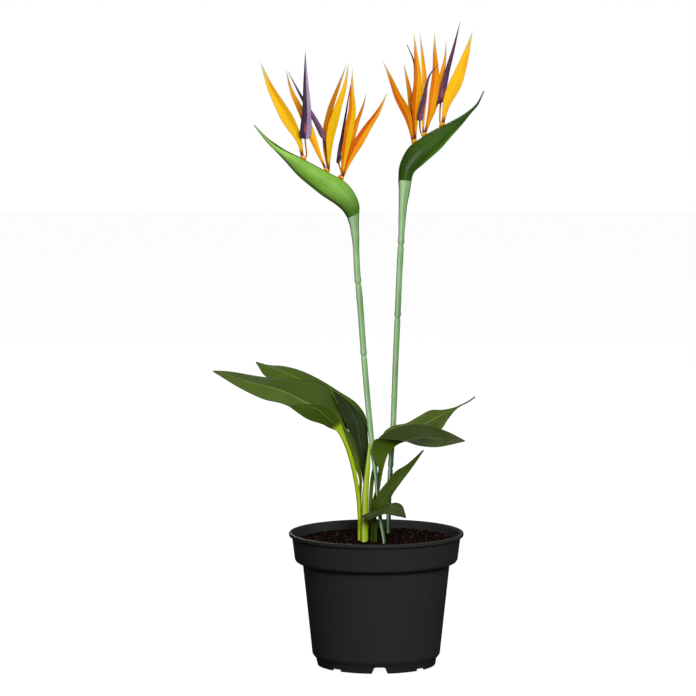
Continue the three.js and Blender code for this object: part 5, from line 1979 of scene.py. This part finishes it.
class Plant:
    """The whole plant in its pot."""

    def __init__(self) -> None:
        """Builds the shared effects and every finish."""
        effects = SharedEffects()
        self.pot = PotFinish().build(effects)
        self.compost = CompostFinish().build(effects)
        self.leaves = {kind: kind.value.build(effects) for kind in LeafKind}
        self.petals = {kind: kind.value.build(effects) for kind in PetalKind}
        self.skins = {kind: kind.value.build(effects) for kind in SkinKind}

    def build(self) -> None:
        """Builds the pieces from the ground up."""
        NurseryPot().build(self.pot)
        stems = [(*stem.path[0][:2], stem.radius[0][1]) for stem in FLOWER_STEMS]
        stems += [(*leaf.stalk[0][:2], leaf.radius) for leaf in LEAVES]
        stems += [(*BENT_LEAF.stalk[0][:2], BENT_LEAF.radius[0][1])]
        stems += [(*SPEAR.path[0][:2], SPEAR.radius[0][1])]
        compost = Compost()
        compost.build_body(self.compost)
        compost.build_crumbs(self.compost, stems)
        spathes = {side: Spathe(side) for side in Side}
        kinds = {Side.LEFT: SkinKind.LEFT_SPATHE, Side.RIGHT: SkinKind.RIGHT_SPATHE}
        for stem in FLOWER_STEMS:
            spathe, kind = spathes[stem.side], kinds[stem.side]
            stem.build(spathe, self.skins[SkinKind.STEM])
            spathe.build(self.skins[kind], kind.value.name)
        for name, (side, row, sepals, arrow) in FLORETS.items():
            floret = Floret(name, spathes[side], row, sepals, arrow)
            floret.build_sepals(self.petals[PetalKind.SEPAL])
            floret.build_arrow(self.petals[PetalKind.ARROW])
        for leaf in LEAVES:
            leaf.build(self.leaves[leaf.kind])
        BENT_LEAF.build(self.leaves[LeafKind.BENT])
        SPEAR.build(self.skins[SkinKind.SPEAR])


@dataclass
class Studio:
    """The pale floor, the soft lights and the camera."""

    camera_at: Point = (-0.0307, -5.0, 0.9029)
    aim: Point = (-0.0307, 0.0, 0.346)
    lens: float = 240.46
    sensor: float = 36
    floor_size: float = 12.0
    floor_colour: Colour = (250, 250, 250)
    bounce_colour: Colour = (96, 96, 96)
    world_light: float = 0.12
    lamp_aim: Point = (0.0, 0.0, 0.35)
    lamps: tuple[tuple[str, Point, float, float], ...] = (
        ("front_softbox", (0.5, -2.7, 1.6), 1.3, 84.0),
        ("left_softbox", (-2.2, -1.2, 1.8), 1.0, 5.0),
        ("right_softbox", (2.2, -0.8, 1.8), 1.0, 8.0),
        ("top_softbox", (0.0, 0.2, 2.6), 1.2, 9.0),
        ("back_softbox", (-0.4, 2.7, 1.6), 1.3, 24.0),
    )

    def build(self) -> None:
        """Builds the camera, the lights, the floor and the white surroundings."""
        scene = bpy.context.scene
        scene.view_settings.view_transform = "Standard"
        camera = bpy.data.objects.new("camera", bpy.data.cameras.new("camera"))
        camera.data.lens = self.lens
        camera.data.sensor_width = self.sensor
        self._point(camera, self.camera_at, self.aim)
        scene.camera = camera
        for name, place, size, power in self.lamps:
            data = bpy.data.lights.new(name, "AREA")
            data.shape = "DISK"
            data.size = size
            data.energy = power
            self._point(bpy.data.objects.new(name, data), place, self.lamp_aim)
        bm = bmesh.new()
        bmesh.ops.create_grid(bm, x_segments=1, y_segments=1, size=self.floor_size / 2)
        floor = place_mesh("floor", bm)
        material, bench, shader = start_finish("pale_floor", Surface(roughness=0.9, specular=0.1))
        shader.inputs["Base Color"].default_value = paint(self.bounce_colour)
        shader.inputs["Emission Color"].default_value = paint(self.floor_colour)
        seen = bench.node("ShaderNodeLightPath").outputs["Is Camera Ray"]
        bench.feed(shader.inputs["Emission Strength"], seen)
        floor.data.materials.append(material)
        self._surroundings(scene)

    @staticmethod
    def _point(thing: bpy.types.Object, place: Point, aim: Point) -> None:
        """Puts a camera or a lamp at a place and turns it to an aim."""
        thing.location = place
        thing.rotation_euler = (Vector(aim) - Vector(place)).to_track_quat("-Z", "Y").to_euler()
        bpy.context.scene.collection.objects.link(thing)

    def _surroundings(self, scene: bpy.types.Scene) -> None:
        """Makes the surroundings white to the camera and dimmer as a light."""
        world = bpy.data.worlds.new("white_surroundings")
        world.use_nodes = True
        scene.world = world
        bench = NodeBench(world.node_tree)
        background = world.node_tree.nodes["Background"]
        background.inputs["Color"].default_value = (1, 1, 1, 1)
        seen = bench.node("ShaderNodeLightPath").outputs["Is Camera Ray"]
        strength = bench.maths("MULTIPLY_ADD", seen, 1 - self.world_light, self.world_light)
        bench.feed(background.inputs["Strength"], strength)


def main() -> None:
    """Builds the studio and the plant."""
    logging.basicConfig(level=logging.INFO, format="%(name)s %(message)s")
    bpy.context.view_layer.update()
    Studio().build()
    Plant().build()


if __name__ == "__main__":
    main()
